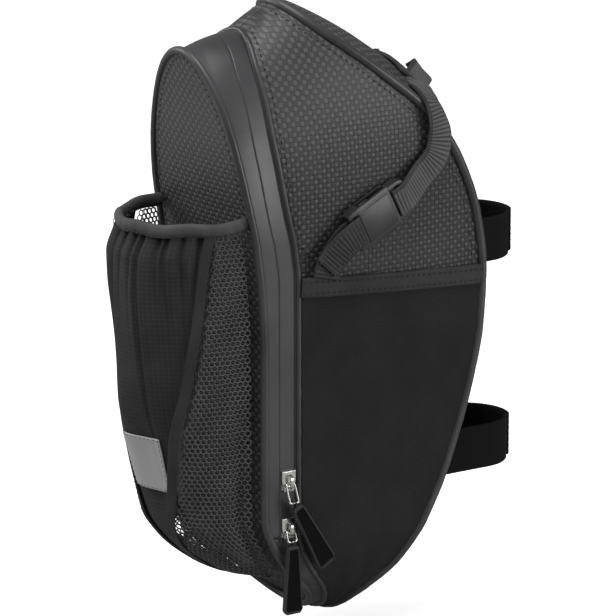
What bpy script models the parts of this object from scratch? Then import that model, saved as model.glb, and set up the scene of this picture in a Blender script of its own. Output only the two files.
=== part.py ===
"""Bike saddle bag with a bottle pocket, built as the separate pieces it is sewn from.

Bag coordinates are in millimetres: X to the bag's right, Y from the rear lid towards the seatpost,
Z up from the bottom tip. The empty "bag_frame" carries every piece and puts the world's origin in the
middle of the flat pad that bears on the seatpost.
"""

import math

import bpy
import numpy as np

# Overall sizes of the sewn body, in millimetres
BODY_HEIGHT = 299.0
BODY_HALF_WIDTH = 40.0
BODY_DEPTH = 126.0
LID_DROP = 18.0
RIDGE_DROP = 11.5
RIDGE_DEPTH = 19.1
BOTTOM_ARCH = 46.0
LID_ARCH = 92.0
FRONT_ARCH = 65.0
WALL = 1.8
BOARD = 1.2
BOARD_INSET = 9.0
PANEL_SWELL = 2.4
FRONT_SWELL = 3.0
ROOF_SWELL = 13.0
ROOF_OUTLINE = [(0.0, 0.0), (0.652, 0.0), (0.753, 0.5), (0.836, 0.95), (1.0, 1.0)]
LID_SWELL = 2.0
LID_FLAT = 10.0
LID_RISE = 50.0
GAP = 0.35
SEAM_GAP = 0.6

# Piping radii
REAR_PIPING_R = 1.9
SIDE_PIPING_R = 1.4
FRONT_PIPING_R = 2.3

# Zip, measured from the side piping towards the lid
TAPE_WIDTH = 3.8
ZIP_OPENING = 1.6
TAPE_THICK = 1.2
COIL_R = 0.8
ZIP_END = 49.0

# The lid's soft fold, and how far its half of the zip and its gusset end above the bottom gusset,
# which they fold down past
HINGE_HEIGHT = 22.0
FOLD_ROOM = 5.0
GUSSET_ROOM = 1.0

# Side pockets
POCKET_TOP_REAR = 0.585 * BODY_HEIGHT
POCKET_TOP_FRONT = 0.559 * BODY_HEIGHT
POCKET_FOOT_STATION = 0.2
POCKET_INSET = 0.4
BINDING_TALL = 9.0
BINDING_FOLD = 0.7
POCKET_CLOTH = 0.9

# Bottle pocket
BOTTLE_RIM = 205.0
BOTTLE_FOOT = 24.5
BOTTLE_REACH = 53.0
BOTTLE_CLOTH = 1.2
BOTTLE_EDGE = 4.2
RIM_TALL = 5.8
RIM_THICK = 2.6
RIM_SINK = 0.5
SEWN_APART = 1.2
HEM_WIDE = 4.5
HEM_FOOT = 48.0
HEM_SHORT = 2.0
TRIM_THICK = 0.6
PATCH_TALL = 32.0
PATCH_MIDDLE = 87.0
PATCH_SPREAD = 20.0
NET_END = 84.0
BOTTLE_OUTLINE = [(0.0, 0.18), (0.025, 0.38), (0.07, 0.49), (0.13, 0.58), (0.247, 0.69), (0.357, 0.79),
                  (0.53, 0.90), (0.80, 0.945), (0.90, 0.90), (0.96, 0.80), (1.0, 0.73)]
PANEL_OUTLINE = [(0.0, 8.0), (0.1, 10.0), (0.2, 20.0), (0.307, 29.0), (0.424, 37.0), (0.54, 47.0),
                 (0.618, 51.0), (0.74, 57.0), (1.0, 66.0)]

# Webbing straps over the saddle rails
WEB_WIDE = 14.5
WEB_THICK = 1.4
ARCH_RISE = 20.0
ARCH_ROOT_X = 12.0
ARCH_EDGE = 0.793 * BODY_HEIGHT
ARCH_ROOT = 0.823 * BODY_HEIGHT
ANCHOR_THICK = 1.0
ANCHOR_WIDE = 48.0
ANCHOR_TALL = 18.0
LOWER_FOOT_DEPTH = 0.25 * BODY_DEPTH

# Side release buckle
BUCKLE_WIDE = 21.0
BUCKLE_THICK = 6.4
BUCKLE_SKIN = 1.4
BUCKLE_SIDE = 2.2
SOCKET_LONG = 25.0
HOLLOW_LONG = 18.1
WINDOW_FAR = 17.0
WINDOW_NEAR = 9.5
CATCH_THICK = 0.3
WEB_BAR = 2.3
WEB_SLOT = 3.2
PLUG_BASE_LONG = 8.5
PLUG_INSET = 1.0
PLUG_BAR = 3.4
PLUG_SLOT = 2.6
GUIDE_LONG = 14.1
GUIDE_WIDE = 2.8
PRONG_LONG = 15.0
PRONG_WIDE = 2.3
PRONG_THICK = 2.5
PRONG_SPREAD = 5.75
TAB_LONG = 5.5
TAB_THICK = 1.9
BUCKLE_TILT = 27.0
BUCKLE_MIDDLE = (0.48 * BODY_DEPTH, 0.674 * BODY_HEIGHT)

# Seatpost straps
POST_R = 19.5
POST_CENTRE_DEPTH = 145.5
HOOK_WIDE = 22.0
HOOK_THICK = 1.6
ROOT_FLARE = 3.8
ROOT_TAPER = 0.45
ROOT_RISE = 1.6
LAP_ANGLE = 112.0
HOOK_UPPER = 173.0
HOOK_LOWER = 70.0
PAD_WIDE = 34.0
PAD_TALL = 36.0
PAD_HEIGHT = 141.0
PAD_THICK = 2.6

# Zip sliders and their pulls
SLIDER_WIDE = 7.8
SLIDER_LONG = 10.0
SLIDER_PLATE = 1.3
SLIDER_POST_WIDE = 0.9
BRIDGE_WIDE = 1.4
BRIDGE_LONG = 7.2
BRIDGE_TALL = 3.0
EYE_LONG = 4.8
UPPER_SLIDER = 78.0
LOWER_SLIDER = 55.0
LINK_LONG = 9.0
LINK_WIDE = 4.8
LINK_WIRE = 0.55
LINK_LEAN = 22.5
GRIP_LONG = 38.0
GRIP_THICK = 2.6
GRIP_WIDE = 10.5
GRIP_TOP_WIDE = 6.5
EYELET_R = 1.8
EYELET_WIRE = 0.45
UPPER_GRIP_TILT = 30.0

MM = 0.001
LID_HEIGHT = BODY_HEIGHT - LID_DROP
RIDGE_HEIGHT = BODY_HEIGHT - RIDGE_DROP
PAD_FACE = BODY_DEPTH + FRONT_SWELL + GAP + PAD_THICK
ORIGIN = np.array([0.0, PAD_FACE, PAD_HEIGHT])
DIVISIONS = (6, 6, 6, 8)
RIGHT, LEFT = 1.0, -1.0


for old in list(bpy.data.objects):
    bpy.data.objects.remove(old, do_unlink=True)

bag_frame = bpy.data.objects.new("bag_frame", None)
bag_frame.location = tuple(-ORIGIN * MM)
bpy.context.collection.objects.link(bag_frame)


def material(name, colour, roughness, metallic=0.0):
    made = bpy.data.materials.new(name)
    made.use_nodes = True
    shader = made.node_tree.nodes["Principled BSDF"]
    shader.inputs["Base Color"].default_value = (*colour, 1.0)
    shader.inputs["Roughness"].default_value = roughness
    shader.inputs["Metallic"].default_value = metallic
    return made


CARBON = ("carbon_leatherette", (0.075, 0.075, 0.08), 0.42)
SMOOTH = ("smooth_leatherette", (0.085, 0.085, 0.09), 0.38)
PIPING = ("piping_leatherette", (0.06, 0.06, 0.065), 0.35)
RIPSTOP = ("ripstop_cloth", (0.022, 0.022, 0.024), 0.8)
POCKET = ("pocket_cloth", (0.045, 0.045, 0.048), 0.75)
MESH = ("net_cloth", (0.03, 0.03, 0.032), 0.7)
BINDING = ("binding_tape", (0.02, 0.02, 0.022), 0.7)
WEBBING = ("webbing", (0.03, 0.03, 0.032), 0.7)
HOOK = ("hook_and_loop", (0.012, 0.012, 0.013), 0.9)
PLASTIC = ("buckle_plastic", (0.02, 0.02, 0.021), 0.35)
RUBBER = ("pull_rubber", (0.012, 0.012, 0.012), 0.5)
METAL = ("slider_metal", (0.75, 0.76, 0.78), 0.25, 1.0)
COIL = ("zip_coil", (0.02, 0.02, 0.02), 0.45)
BOARDS = ("foam_board", (0.12, 0.12, 0.12), 0.8)
REFLECTIVE = ("reflective_tape", (0.55, 0.56, 0.57), 0.35)


def place(piece, look, pivot=(0.0, 0.0, 0.0)):
    """Give a new object its material and hang it on the bag's frame, its origin on pivot."""
    piece.location = tuple(np.asarray(pivot) * MM)
    piece.parent = bag_frame
    piece.data.materials.append(material(piece.name, look[1], look[2], look[3] if len(look) > 3 else 0.0))
    if piece.name not in bpy.context.collection.objects:
        bpy.context.collection.objects.link(piece)
    return piece


def mesh_piece(name, points, faces, look, pivot=(0.0, 0.0, 0.0), smooth=True, sharp=40.0):
    """A mesh object from points in bag millimetres."""
    mesh = bpy.data.meshes.new(name)
    local = (np.asarray(points, float) - np.asarray(pivot)) * MM
    mesh.from_pydata([tuple(p) for p in local], [], faces)
    if smooth:
        mesh.shade_smooth()
        mesh.set_sharp_from_angle(angle=math.radians(sharp))
    return place(bpy.data.objects.new(name, mesh), look, pivot)


def through(xs, ys, x):
    """Smooth curve through a few outline points, without overshoot."""
    xs, ys = np.asarray(xs, float), np.asarray(ys, float)
    rise = np.diff(ys) / np.diff(xs)
    slope = np.concatenate([[rise[0]], np.zeros(len(xs) - 2), [rise[-1]]])
    for i in range(1, len(xs) - 1):
        if rise[i - 1] * rise[i] > 0:
            slope[i] = 2 * rise[i - 1] * rise[i] / (rise[i - 1] + rise[i])
    i = int(np.clip(np.searchsorted(xs, x) - 1, 0, len(xs) - 2))
    h = xs[i + 1] - xs[i]
    s = (min(max(x, xs[0]), xs[-1]) - xs[i]) / h
    return ((1 + 2 * s) * (1 - s) ** 2 * ys[i] + s * (1 - s) ** 2 * h * slope[i]
            + s * s * (3 - 2 * s) * ys[i + 1] + s * s * (s - 1) * h * slope[i + 1])


class Seam:
    """A closed seam line round the body: an arch below, straight sides and an arch above.

    Its stations run from 0 at the bottom tip over 1 at the bottom arch's end, 2 at the side pocket's
    top and 3 at the foot of the upper arch, to 4 at the top.
    """

    def __init__(self, bottom, top, arch, pocket_top, outline):
        self.bottom, self.top, self.arch, self.pocket_top = bottom, top, arch, pocket_top
        self.heights = [h for h, _ in outline]
        self.depths = [d for _, d in outline]

    def depth(self, height):
        return through(self.heights, self.depths, height)

    def half_width(self, height):
        low, high = self.bottom + BOTTOM_ARCH, self.top - self.arch
        if height < low:
            share = (low - height) / BOTTOM_ARCH
        elif height > high:
            share = (height - high) / self.arch
        else:
            return BODY_HALF_WIDTH
        return BODY_HALF_WIDTH * math.sqrt(max(0.0, 1 - share * share))

    def height(self, station):
        low, high = self.bottom + BOTTOM_ARCH, self.top - self.arch
        if station <= 1:
            return low - BOTTOM_ARCH * math.cos(station * math.pi / 2)
        if station <= 2:
            return low + (self.pocket_top - low) * (station - 1)
        if station <= 3:
            return self.pocket_top + (high - self.pocket_top) * (station - 2)
        return high + self.arch * math.sin((station - 3) * math.pi / 2)

    def point(self, station, side=RIGHT):
        height = self.height(station)
        if station <= 1:
            x = BODY_HALF_WIDTH * math.sin(station * math.pi / 2)
        elif station >= 3:
            x = BODY_HALF_WIDTH * math.cos((station - 3) * math.pi / 2)
        else:
            x = BODY_HALF_WIDTH
        return np.array([side * x, self.depth(height), height])

    def tangent(self, station, side=RIGHT):
        before = self.point(max(station - 0.01, 0.0), side)
        after = self.point(min(station + 0.01, 4.0), side)
        return unit(after - before)

    def station(self, height):
        low, high = 0.0, 4.0
        for _ in range(40):
            middle = (low + high) / 2
            if self.height(middle) < height:
                low = middle
            else:
                high = middle
        return (low + high) / 2


def unit(v):
    return np.asarray(v, float) / np.linalg.norm(v)


def outline(points, start=0.0):
    """Outline points given as shares of the body's height and, past start, of its depth."""
    return [(h * BODY_HEIGHT, start + d * BODY_DEPTH) for h, d in points]


front_seam = Seam(1.0, BODY_HEIGHT, FRONT_ARCH, POCKET_TOP_FRONT, outline([
    (0.003, 0.460), (0.027, 0.475), (0.053, 0.525), (0.085, 0.605), (0.117, 0.664), (0.148, 0.718),
    (0.178, 0.760), (0.209, 0.800), (0.270, 0.860), (0.365, 0.936), (0.465, 0.988), (0.555, 1.000),
    (0.642, 0.972), (0.728, 0.898), (0.814, 0.760), (0.898, 0.531), (0.967, 0.325), (1.000, 0.246)]))
ridge_seam = Seam(2.0, RIDGE_HEIGHT, LID_ARCH, POCKET_TOP_REAR, outline([
    (0.007, 0.253), (0.054, 0.182), (0.110, 0.067), (0.150, 0.010), (0.168, 0.0), (0.575, 0.0),
    (0.639, -0.017), (0.689, -0.045), (0.749, -0.068), (0.839, -0.087), (0.906, -0.087),
    (0.949, -0.068), (0.962, -0.053)], RIDGE_DEPTH))
lid_seam = Seam(4.0, LID_HEIGHT, LID_ARCH, POCKET_TOP_REAR, outline([
    (0.013, 0.353), (0.060, 0.254), (0.110, 0.119), (0.161, 0.032), (0.201, 0.0), (0.468, 0.0),
    (0.552, -0.008), (0.639, -0.032), (0.722, -0.068), (0.783, -0.091), (0.866, -0.119),
    (0.940, -0.151)]))


def stations(first, last):
    """The stations from first to last at which panels have their rows."""
    knots = [i + j / n for i, n in enumerate(DIVISIONS) for j in range(n)] + [4.0]
    inner = [k for k in knots if first + 0.03 < k < last - 0.03]
    return [first] + inner + [last]


def skin(name, outer, inner, look, pivot=(0.0, 0.0, 0.0), wrap=False):
    """A closed solid from its outer and its inner grid of points."""
    rows, cols = outer.shape[:2]
    count = rows * cols
    ends = rows if wrap else rows - 1
    faces, edges = [], []
    for i in range(ends):
        after = (i + 1) % rows
        for j in range(cols - 1):
            a, b = i * cols + j, i * cols + j + 1
            d, c = after * cols + j, after * cols + j + 1
            faces.append((a, b, c, d))
            faces.append((a + count, d + count, c + count, b + count))
        edges.append((after * cols, i * cols))
        edges.append((i * cols + cols - 1, after * cols + cols - 1))
    if not wrap:
        for j in range(cols - 1):
            edges.append((j, j + 1))
            edges.append(((rows - 1) * cols + j + 1, (rows - 1) * cols + j))
    faces += [(b, a, a + count, b + count) for a, b in edges]
    points = np.concatenate([outer.reshape(-1, 3), inner.reshape(-1, 3)])
    return mesh_piece(name, points, faces, look, pivot)


def shell(name, grid, thick, look, pivot=(0.0, 0.0, 0.0), lift=0.0, inward=True):
    """A sewn panel: a grid of points with its thickness laid on the inner or on the outer side.

    The grid's normal, columns crossed with rows, points out of the bag. lift first moves the
    whole panel out along it.
    """
    grid = np.asarray(grid, float)
    normal = grid_normals(grid)
    outer = grid + normal * (lift if inward else lift + thick)
    return skin(name, outer, outer - normal * thick, look, pivot)


def grid_normals(grid):
    along = np.gradient(grid, axis=0)
    across = np.gradient(grid, axis=1)
    normal = np.cross(across, along)
    return normal / np.maximum(np.linalg.norm(normal, axis=2, keepdims=True), 1e-9)


def between(seam_a, seam_b, station, side, hold_a, hold_b):
    """The two ends of a panel's row, held back square from the two seam lines."""
    a, b = seam_a.point(station, side), seam_b.point(station, side)
    way = unit(b - a)
    lean_a = math.sqrt(max(0.1, 1 - float(way @ seam_a.tangent(station, side)) ** 2))
    lean_b = math.sqrt(max(0.1, 1 - float(way @ seam_b.tangent(station, side)) ** 2))
    return a + way * hold_a / lean_a, b - way * hold_b / lean_b


def facing(grid, side):
    """Turn a grid made on the left side over, so that its normal still points out."""
    return grid if side == RIGHT else [row[::-1] for row in grid]


def band_grid(seam_a, seam_b, side, first, last, hold_a, hold_b, columns, swell=0.0):
    """Rows from one seam to the next, swelling outwards a little in the middle."""
    grid = []
    for station in stations(first, last):
        start, end = between(seam_a, seam_b, station, side, hold_a, hold_b)
        grid.append([start + (end - start) * j / columns for j in range(columns + 1)])
    grid = np.array(grid)
    if swell:
        normal = grid_normals(grid) * side
        width = np.linalg.norm(grid[:, -1] - grid[:, 0], axis=1) / BODY_DEPTH
        for j in range(columns + 1):
            push = swell * math.sin(math.pi * j / columns) * np.minimum(1.0, 1.2 * width)
            grid[:, j] += normal[:, j] * push[:, None]
    return grid


def round_the_top(maker, first):
    """Rows from station first on the right, over the top, to the same station on the left."""
    rising = stations(first, 4.0)
    rows = [maker(s, RIGHT) for s in rising]
    return rows + [maker(s, LEFT) for s in rising[-2::-1]]


def tube(name, points, radius, look, cyclic=False, sides=2, pivot=(0.0, 0.0, 0.0)):
    """A round cord or piping along points."""
    curve = bpy.data.curves.new(name, "CURVE")
    curve.dimensions = "3D"
    curve.bevel_depth = radius * MM
    curve.bevel_resolution = sides
    curve.use_fill_caps = not cyclic
    line = curve.splines.new("POLY")
    line.points.add(len(points) - 1)
    for spot, p in zip(line.points, points):
        spot.co = (*((np.asarray(p) - np.asarray(pivot)) * MM), 1.0)
    line.use_cyclic_u = cyclic
    line.use_smooth = True
    return place(bpy.data.objects.new(name, curve), look, pivot)


def ribbon(name, path, wides, wide, thick, look, pivot=(0.0, 0.0, 0.0), square=True):
    """A flat strap along path, each point with the direction of its width.

    With square off the widths are taken as they are, so an end can be cut on a slant.
    """
    path = np.asarray(path, float)
    along = np.gradient(path, axis=0)
    points, faces = [], []
    for p, t, w in zip(path, along, wides):
        t = unit(t)
        w = unit(w - t * float(np.dot(w, t))) if square else np.asarray(w, float)
        up = unit(np.cross(t, w))
        for a, b in ((-1, -1), (1, -1), (1, 1), (-1, 1)):
            points.append(p + w * a * wide / 2 + up * b * thick / 2)
    last = len(path) - 1
    for i in range(last):
        for k in range(4):
            a, b = 4 * i + k, 4 * i + (k + 1) % 4
            faces.append((a, b, b + 4, a + 4))
    faces.append((3, 2, 1, 0))
    faces.append(tuple(4 * last + k for k in range(4)))
    return mesh_piece(name, points, faces, look, pivot, sharp=30.0)


def smooth_path(points, steps):
    """A smooth curve through a strap's own points."""
    points = [np.asarray(p, float) for p in points]
    padded = [2 * points[0] - points[1]] + points + [2 * points[-1] - points[-2]]
    out = []
    for i in range(1, len(padded) - 2):
        p0, p1, p2, p3 = padded[i - 1:i + 3]
        for k in range(steps):
            s = k / steps
            out.append(0.5 * (2 * p1 + (p2 - p0) * s + (2 * p0 - 5 * p1 + 4 * p2 - p3) * s * s
                              + (3 * p1 - p0 - 3 * p2 + p3) * s ** 3))
    return out + [points[-1]]


def block(name, low, high, look, pivot=(0.0, 0.0, 0.0), axes=None):
    """A box from low to high, measured along axes from pivot."""
    axes = np.eye(3) if axes is None else axes
    corners = [(x, y, z) for x in (low[0], high[0]) for y in (low[1], high[1]) for z in (low[2], high[2])]
    points = [np.asarray(pivot) + np.array(c) @ axes for c in corners]
    faces = [(0, 1, 3, 2), (4, 6, 7, 5), (0, 4, 5, 1), (2, 3, 7, 6), (0, 2, 6, 4), (1, 5, 7, 3)]
    if np.linalg.det(axes) < 0:
        faces = [f[::-1] for f in faces]
    return mesh_piece(name, points, faces, look, pivot, smooth=False)


def guide(piece):
    piece.hide_render = True
    piece.display_type = "WIRE"
    return piece


def combine(piece, tool, how):
    """Join a tool to a piece or cut it away."""
    step = piece.modifiers.new(how.lower(), "BOOLEAN")
    step.operation = how
    step.object = guide(tool)
    return piece


def hold(radius):
    """How far a panel's edge stays back from the middle of the piping it is sewn to."""
    return radius + SEAM_GAP


SIDES = ((RIGHT, "right"), (LEFT, "left"))
TIP = 0.004
TOP = 4.0 - 3 * TIP

# Side panels, from the ridge piping to the front piping
side_grids = {}
for side, word in SIDES:
    grid = band_grid(ridge_seam, front_seam, side, TIP, TOP, hold(SIDE_PIPING_R),
                     hold(FRONT_PIPING_R), 6, PANEL_SWELL)
    side_grids[side] = grid
    shell("side_panel_" + word, facing(grid, side), WALL, CARBON)


def side_surface(depth, height):
    """How far out the side panel's face stands at a depth and height."""
    grid = side_grids[RIGHT].reshape(-1, 3)
    away = (grid[:, 1] - depth) ** 2 + (grid[:, 2] - height) ** 2
    near = np.argsort(away)[:4]
    return float(grid[near, 0].max())


# Flat side pockets with a bound top edge
binding_share = BINDING_TALL / (POCKET_TOP_REAR - BOTTOM_ARCH - ridge_seam.bottom)
pocket_holds = (hold(SIDE_PIPING_R) + POCKET_INSET, hold(FRONT_PIPING_R) + POCKET_INSET)
for side, word in SIDES:
    cloth = band_grid(ridge_seam, front_seam, side, POCKET_FOOT_STATION, 2.0 - binding_share - 1.5 * TIP,
                      *pocket_holds, 6, PANEL_SWELL)
    shell("side_pocket_" + word, facing(cloth, side), POCKET_CLOTH, RIPSTOP, lift=GAP, inward=False)
    tape = band_grid(ridge_seam, front_seam, side, 2.0 - binding_share, 2.0, *pocket_holds, 6,
                     PANEL_SWELL)
    shell("side_pocket_binding_" + word, facing(tape, side), POCKET_CLOTH + BINDING_FOLD, BINDING,
          lift=GAP, inward=False)


# Front panel: the front face and the slanted top in one piece
def outward(seam, height, forward):
    """The direction square to a seam's outline at a height, in the bag's middle plane."""
    slope = seam.depth(height + 0.5) - seam.depth(height - 0.5)
    return unit((0.0, forward, -forward * slope))


def front_point(x, height, lift=0.0):
    """A point on the front panel's outer face, which is domed over the slanted top."""
    half = front_seam.half_width(height)
    dome = FRONT_SWELL + (ROOF_SWELL - FRONT_SWELL) * through(*zip(*ROOF_OUTLINE), height / BODY_HEIGHT)
    swell = dome * max(0.0, 1 - (x / half) ** 2) * min(1.0, half / BODY_HALF_WIDTH)
    return (np.array([x, front_seam.depth(height), height])
            + outward(front_seam, height, 1.0) * (swell + lift))


def front_row(station, inset, columns, lift=0.0):
    half, height = held_half(front_seam, station, inset), front_seam.height(station)
    return [front_point(x, height, lift) for x in np.linspace(half, -half, columns + 1)]


def held_half(seam, station, inset):
    """The half width of a panel's row, held back square from the seam line by inset."""
    lean = math.sqrt(max(0.1, 1 - seam.tangent(station)[0] ** 2))
    return seam.point(station)[0] - inset / lean


def clear_station(seam, inset, end):
    """The station nearest to a seam's end, 0 or 4, at which a panel's last row is inset from it."""
    step = 0.01 if end == 0.0 else -0.01
    station, corner = end + step, seam.point(end)
    while True:
        height = seam.height(station)
        away = math.hypot(height - corner[2], seam.depth(height) - corner[1])
        if away > 1.4 * inset and held_half(seam, station, inset) > 2.0:
            return station
        station += step


front_rows = stations(clear_station(front_seam, hold(FRONT_PIPING_R), 0.0),
                      clear_station(front_seam, hold(FRONT_PIPING_R), 4.0))
shell("front_panel", [front_row(s, hold(FRONT_PIPING_R), 8) for s in front_rows], WALL, CARBON)
shell("front_board", [front_row(s, BOARD_INSET, 8, -WALL - 2 * GAP) for s in stations(1.2, 2.85)],
      BOARD, BOARDS)

# Rear lid panel above the hinge, and the bottom panel below it
HINGE_NORMAL = outward(lid_seam, HINGE_HEIGHT, -1.0)
HINGE = (np.array([0.0, lid_seam.depth(HINGE_HEIGHT), HINGE_HEIGHT])
         + HINGE_NORMAL * (REAR_PIPING_R + 0.1))


def lid_row(station, inset, columns, lift=0.0):
    height = lid_seam.height(station)
    half = held_half(lid_seam, station, inset)
    rise = min(1.0, max(0.0, (height - HINGE_HEIGHT - LID_FLAT) / LID_RISE))
    row = []
    for x in np.linspace(-half, half, columns + 1):
        swell = LID_SWELL * rise * max(0.0, 1 - (x / BODY_HALF_WIDTH) ** 2)
        row.append(np.array([x, lid_seam.depth(height), height])
                   + outward(lid_seam, height, -1.0) * (swell * half / BODY_HALF_WIDTH + lift))
    return row


hinge_up = lid_seam.station(HINGE_HEIGHT + 0.3)
hinge_down = lid_seam.station(HINGE_HEIGHT - 0.3)
lid_top = clear_station(lid_seam, hold(REAR_PIPING_R), 4.0)
lid_foot = clear_station(lid_seam, hold(REAR_PIPING_R), 0.0)
shell("rear_panel", [lid_row(s, hold(REAR_PIPING_R), 8) for s in stations(hinge_up, lid_top)],
      WALL, CARBON, HINGE)
shell("rear_board", [lid_row(s, BOARD_INSET, 8, -WALL - 2 * GAP) for s in stations(1.15, 3.5)],
      BOARD, BOARDS, HINGE)
shell("bottom_panel", [lid_row(s, hold(REAR_PIPING_R), 8) for s in stations(lid_foot, hinge_down)],
      WALL, CARBON)


# Pipings along the three seams
def seam_line(seam, first, last):
    """Points on one side up to the top and down the other."""
    rising = stations(first, last)
    right = [seam.point(s, RIGHT) for s in rising]
    left = [seam.point(s, LEFT) for s in rising]
    return right, left


def closed_line(seam):
    right, left = seam_line(seam, 0.0, 4.0)
    return right + left[-2:0:-1]


tube("front_piping", closed_line(front_seam), FRONT_PIPING_R, PIPING, cyclic=True)
tube("side_piping", closed_line(ridge_seam), SIDE_PIPING_R, PIPING, cyclic=True, sides=1)
right, left = seam_line(lid_seam, hinge_up, 4.0)
tube("rear_piping", right + left[-2::-1], REAR_PIPING_R, PIPING, pivot=HINGE)
right, left = seam_line(lid_seam, 0.0, hinge_down)
tube("bottom_piping", left[:0:-1] + right, REAR_PIPING_R, PIPING)

# Strip between lid and body: the bottom gusset below the zip, the lid gusset and the zip above it
ZIP_LINE = hold(SIDE_PIPING_R) + TAPE_WIDTH + ZIP_OPENING / 2


def strip_row(station, side, near, far):
    """A row of the strip from far to near, measured from the ridge piping towards the lid."""
    ridge, lid = ridge_seam.point(station, side), lid_seam.point(station, side)
    way = unit(lid - ridge)
    if far is None:
        start, _ = between(lid_seam, ridge_seam, station, side, hold(REAR_PIPING_R), 0.0)
        return [start, ridge + way * near]
    return [ridge + way * far, ridge + way * near]


body_foot, gusset_foot, lid_foot_up = (ridge_seam.station(ZIP_END + rise)
                                       for rise in (0.0, GUSSET_ROOM, FOLD_ROOM))


def zip_strip(name, near, far, thick, look, first, pivot=(0.0, 0.0, 0.0)):
    rows = round_the_top(lambda s, side: strip_row(s, side, near, far), first)
    return shell(name, rows, thick, look, pivot)


zip_strip("zip_tape_body", hold(SIDE_PIPING_R), ZIP_LINE - ZIP_OPENING / 2, TAPE_THICK, SMOOTH, body_foot)
zip_strip("zip_tape_lid", ZIP_LINE + ZIP_OPENING / 2, ZIP_LINE + ZIP_OPENING / 2 + TAPE_WIDTH,
          TAPE_THICK, SMOOTH, lid_foot_up, HINGE)
zip_strip("lid_gusset", ZIP_LINE + ZIP_OPENING / 2 + TAPE_WIDTH + GAP, None, WALL, SMOOTH, gusset_foot,
          HINGE)


def coil(name, offset, first, pivot=(0.0, 0.0, 0.0)):
    """One row of zip coil, on the inner face of its tape."""
    rows = np.array(round_the_top(lambda s, side: strip_row(s, side, offset, offset + 1.0), first))
    normal = grid_normals(rows)
    line = rows[:, 1] - normal[:, 1] * (TAPE_THICK + GAP + COIL_R)
    return tube(name, list(line), COIL_R, COIL, sides=1, pivot=pivot)


COIL_APART = 1.5
coil("zip_coil_body", ZIP_LINE - COIL_R - COIL_APART / 2, body_foot)
coil("zip_coil_lid", ZIP_LINE + COIL_R + COIL_APART / 2, lid_foot_up, HINGE)

foot = stations(0.0, ridge_seam.station(ZIP_END - GAP))
sewn = (hold(REAR_PIPING_R), hold(SIDE_PIPING_R))
gusset = [between(lid_seam, ridge_seam, s, LEFT, *sewn) for s in foot[:0:-1]]
gusset += [between(lid_seam, ridge_seam, s, RIGHT, *sewn) for s in foot]
shell("bottom_gusset", gusset, WALL, SMOOTH)

# Bottle pocket on the lid: a tapering middle panel between two net gussets
def pocket_share(height):
    """How far up the bottle pocket a height lies, from 0 at its foot to 1 at its rim."""
    return (height - BOTTLE_FOOT) / (BOTTLE_RIM - BOTTLE_FOOT)


def pocket_point(angle, height):
    """A point on the bottle pocket, angle in degrees from its middle line."""
    half = lid_seam.half_width(height) - BOTTLE_EDGE
    reach = BOTTLE_REACH * through(*zip(*BOTTLE_OUTLINE), pocket_share(height))
    a = math.radians(angle)
    back = lid_seam.depth(height) - GAP - LID_SWELL * 0.5
    return np.array([half * math.sin(a), back - reach * math.cos(a), height])


def pocket_shell(name, low, high, first, last, columns, thick, look, lift=0.0):
    """Part of the pocket between two heights, first and last giving its edges' angles."""
    rows = []
    shares = [0.025, 0.07, 0.13, 0.19, 0.247, 0.3, 0.357, 0.44, 0.53, 0.64, 0.75, 0.85, 0.94]
    heights = [BOTTLE_FOOT + share * (BOTTLE_RIM - BOTTLE_FOOT) for share in shares]
    for height in [low] + [h for h in heights if low + 2 < h < high - 2] + [high]:
        angles = np.linspace(first(height), last(height), columns + 1)
        rows.append([pocket_point(a, height) for a in angles])
    return shell(name, rows, thick, look, HINGE, lift, inward=False)


def panel_edge(height):
    return through(*zip(*PANEL_OUTLINE), pocket_share(height))


bottle_top = BOTTLE_RIM - RIM_TALL - GAP
pocket_shell("bottle_pocket_front", BOTTLE_FOOT, bottle_top, lambda h: -panel_edge(h), panel_edge,
             8, BOTTLE_CLOTH, POCKET)
pocket_shell("bottle_pocket_net_right", BOTTLE_FOOT, bottle_top, lambda h: panel_edge(h) + SEWN_APART,
             lambda h: NET_END, 6, BOTTLE_CLOTH, MESH)
pocket_shell("bottle_pocket_net_left", BOTTLE_FOOT, bottle_top, lambda h: -NET_END,
             lambda h: -panel_edge(h) - SEWN_APART, 6, BOTTLE_CLOTH, MESH)
pocket_shell("bottle_pocket_rim", BOTTLE_RIM - RIM_TALL, BOTTLE_RIM, lambda h: -NET_END,
             lambda h: NET_END, 20, RIM_THICK, BINDING, -RIM_SINK)

half_hem = math.degrees(HEM_WIDE / BODY_HALF_WIDTH) / 2
lifted = BOTTLE_CLOTH + 2 * GAP
for side, word in SIDES:
    pocket_shell("bottle_pocket_hem_" + word, HEM_FOOT, bottle_top - HEM_SHORT,
                 lambda h: side * panel_edge(h) - half_hem, lambda h: side * panel_edge(h) + half_hem,
                 2, TRIM_THICK, BINDING, lifted)
pocket_shell("reflective_patch", PATCH_MIDDLE - PATCH_TALL / 2, PATCH_MIDDLE + PATCH_TALL / 2,
             lambda h: -PATCH_SPREAD, lambda h: PATCH_SPREAD, 6, TRIM_THICK, REFLECTIVE, lifted)

# Seatpost pad: its back follows the front panel, its face is flat
pad_xs = np.linspace(PAD_WIDE / 2, -PAD_WIDE / 2, 7)
pad_heights = np.linspace(PAD_HEIGHT - PAD_TALL / 2, PAD_HEIGHT + PAD_TALL / 2, 7)
pad_back = np.array([[front_point(x, h, GAP + 0.1) for x in pad_xs] for h in pad_heights])
pad_front = pad_back.copy()
pad_front[:, :, 1] = PAD_FACE
pad_front[:, :, 2] = pad_heights[:, None]
pad_back[:, :, 2] = pad_heights[:, None]
skin("seatpost_pad", pad_front, pad_back, RUBBER)


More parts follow.
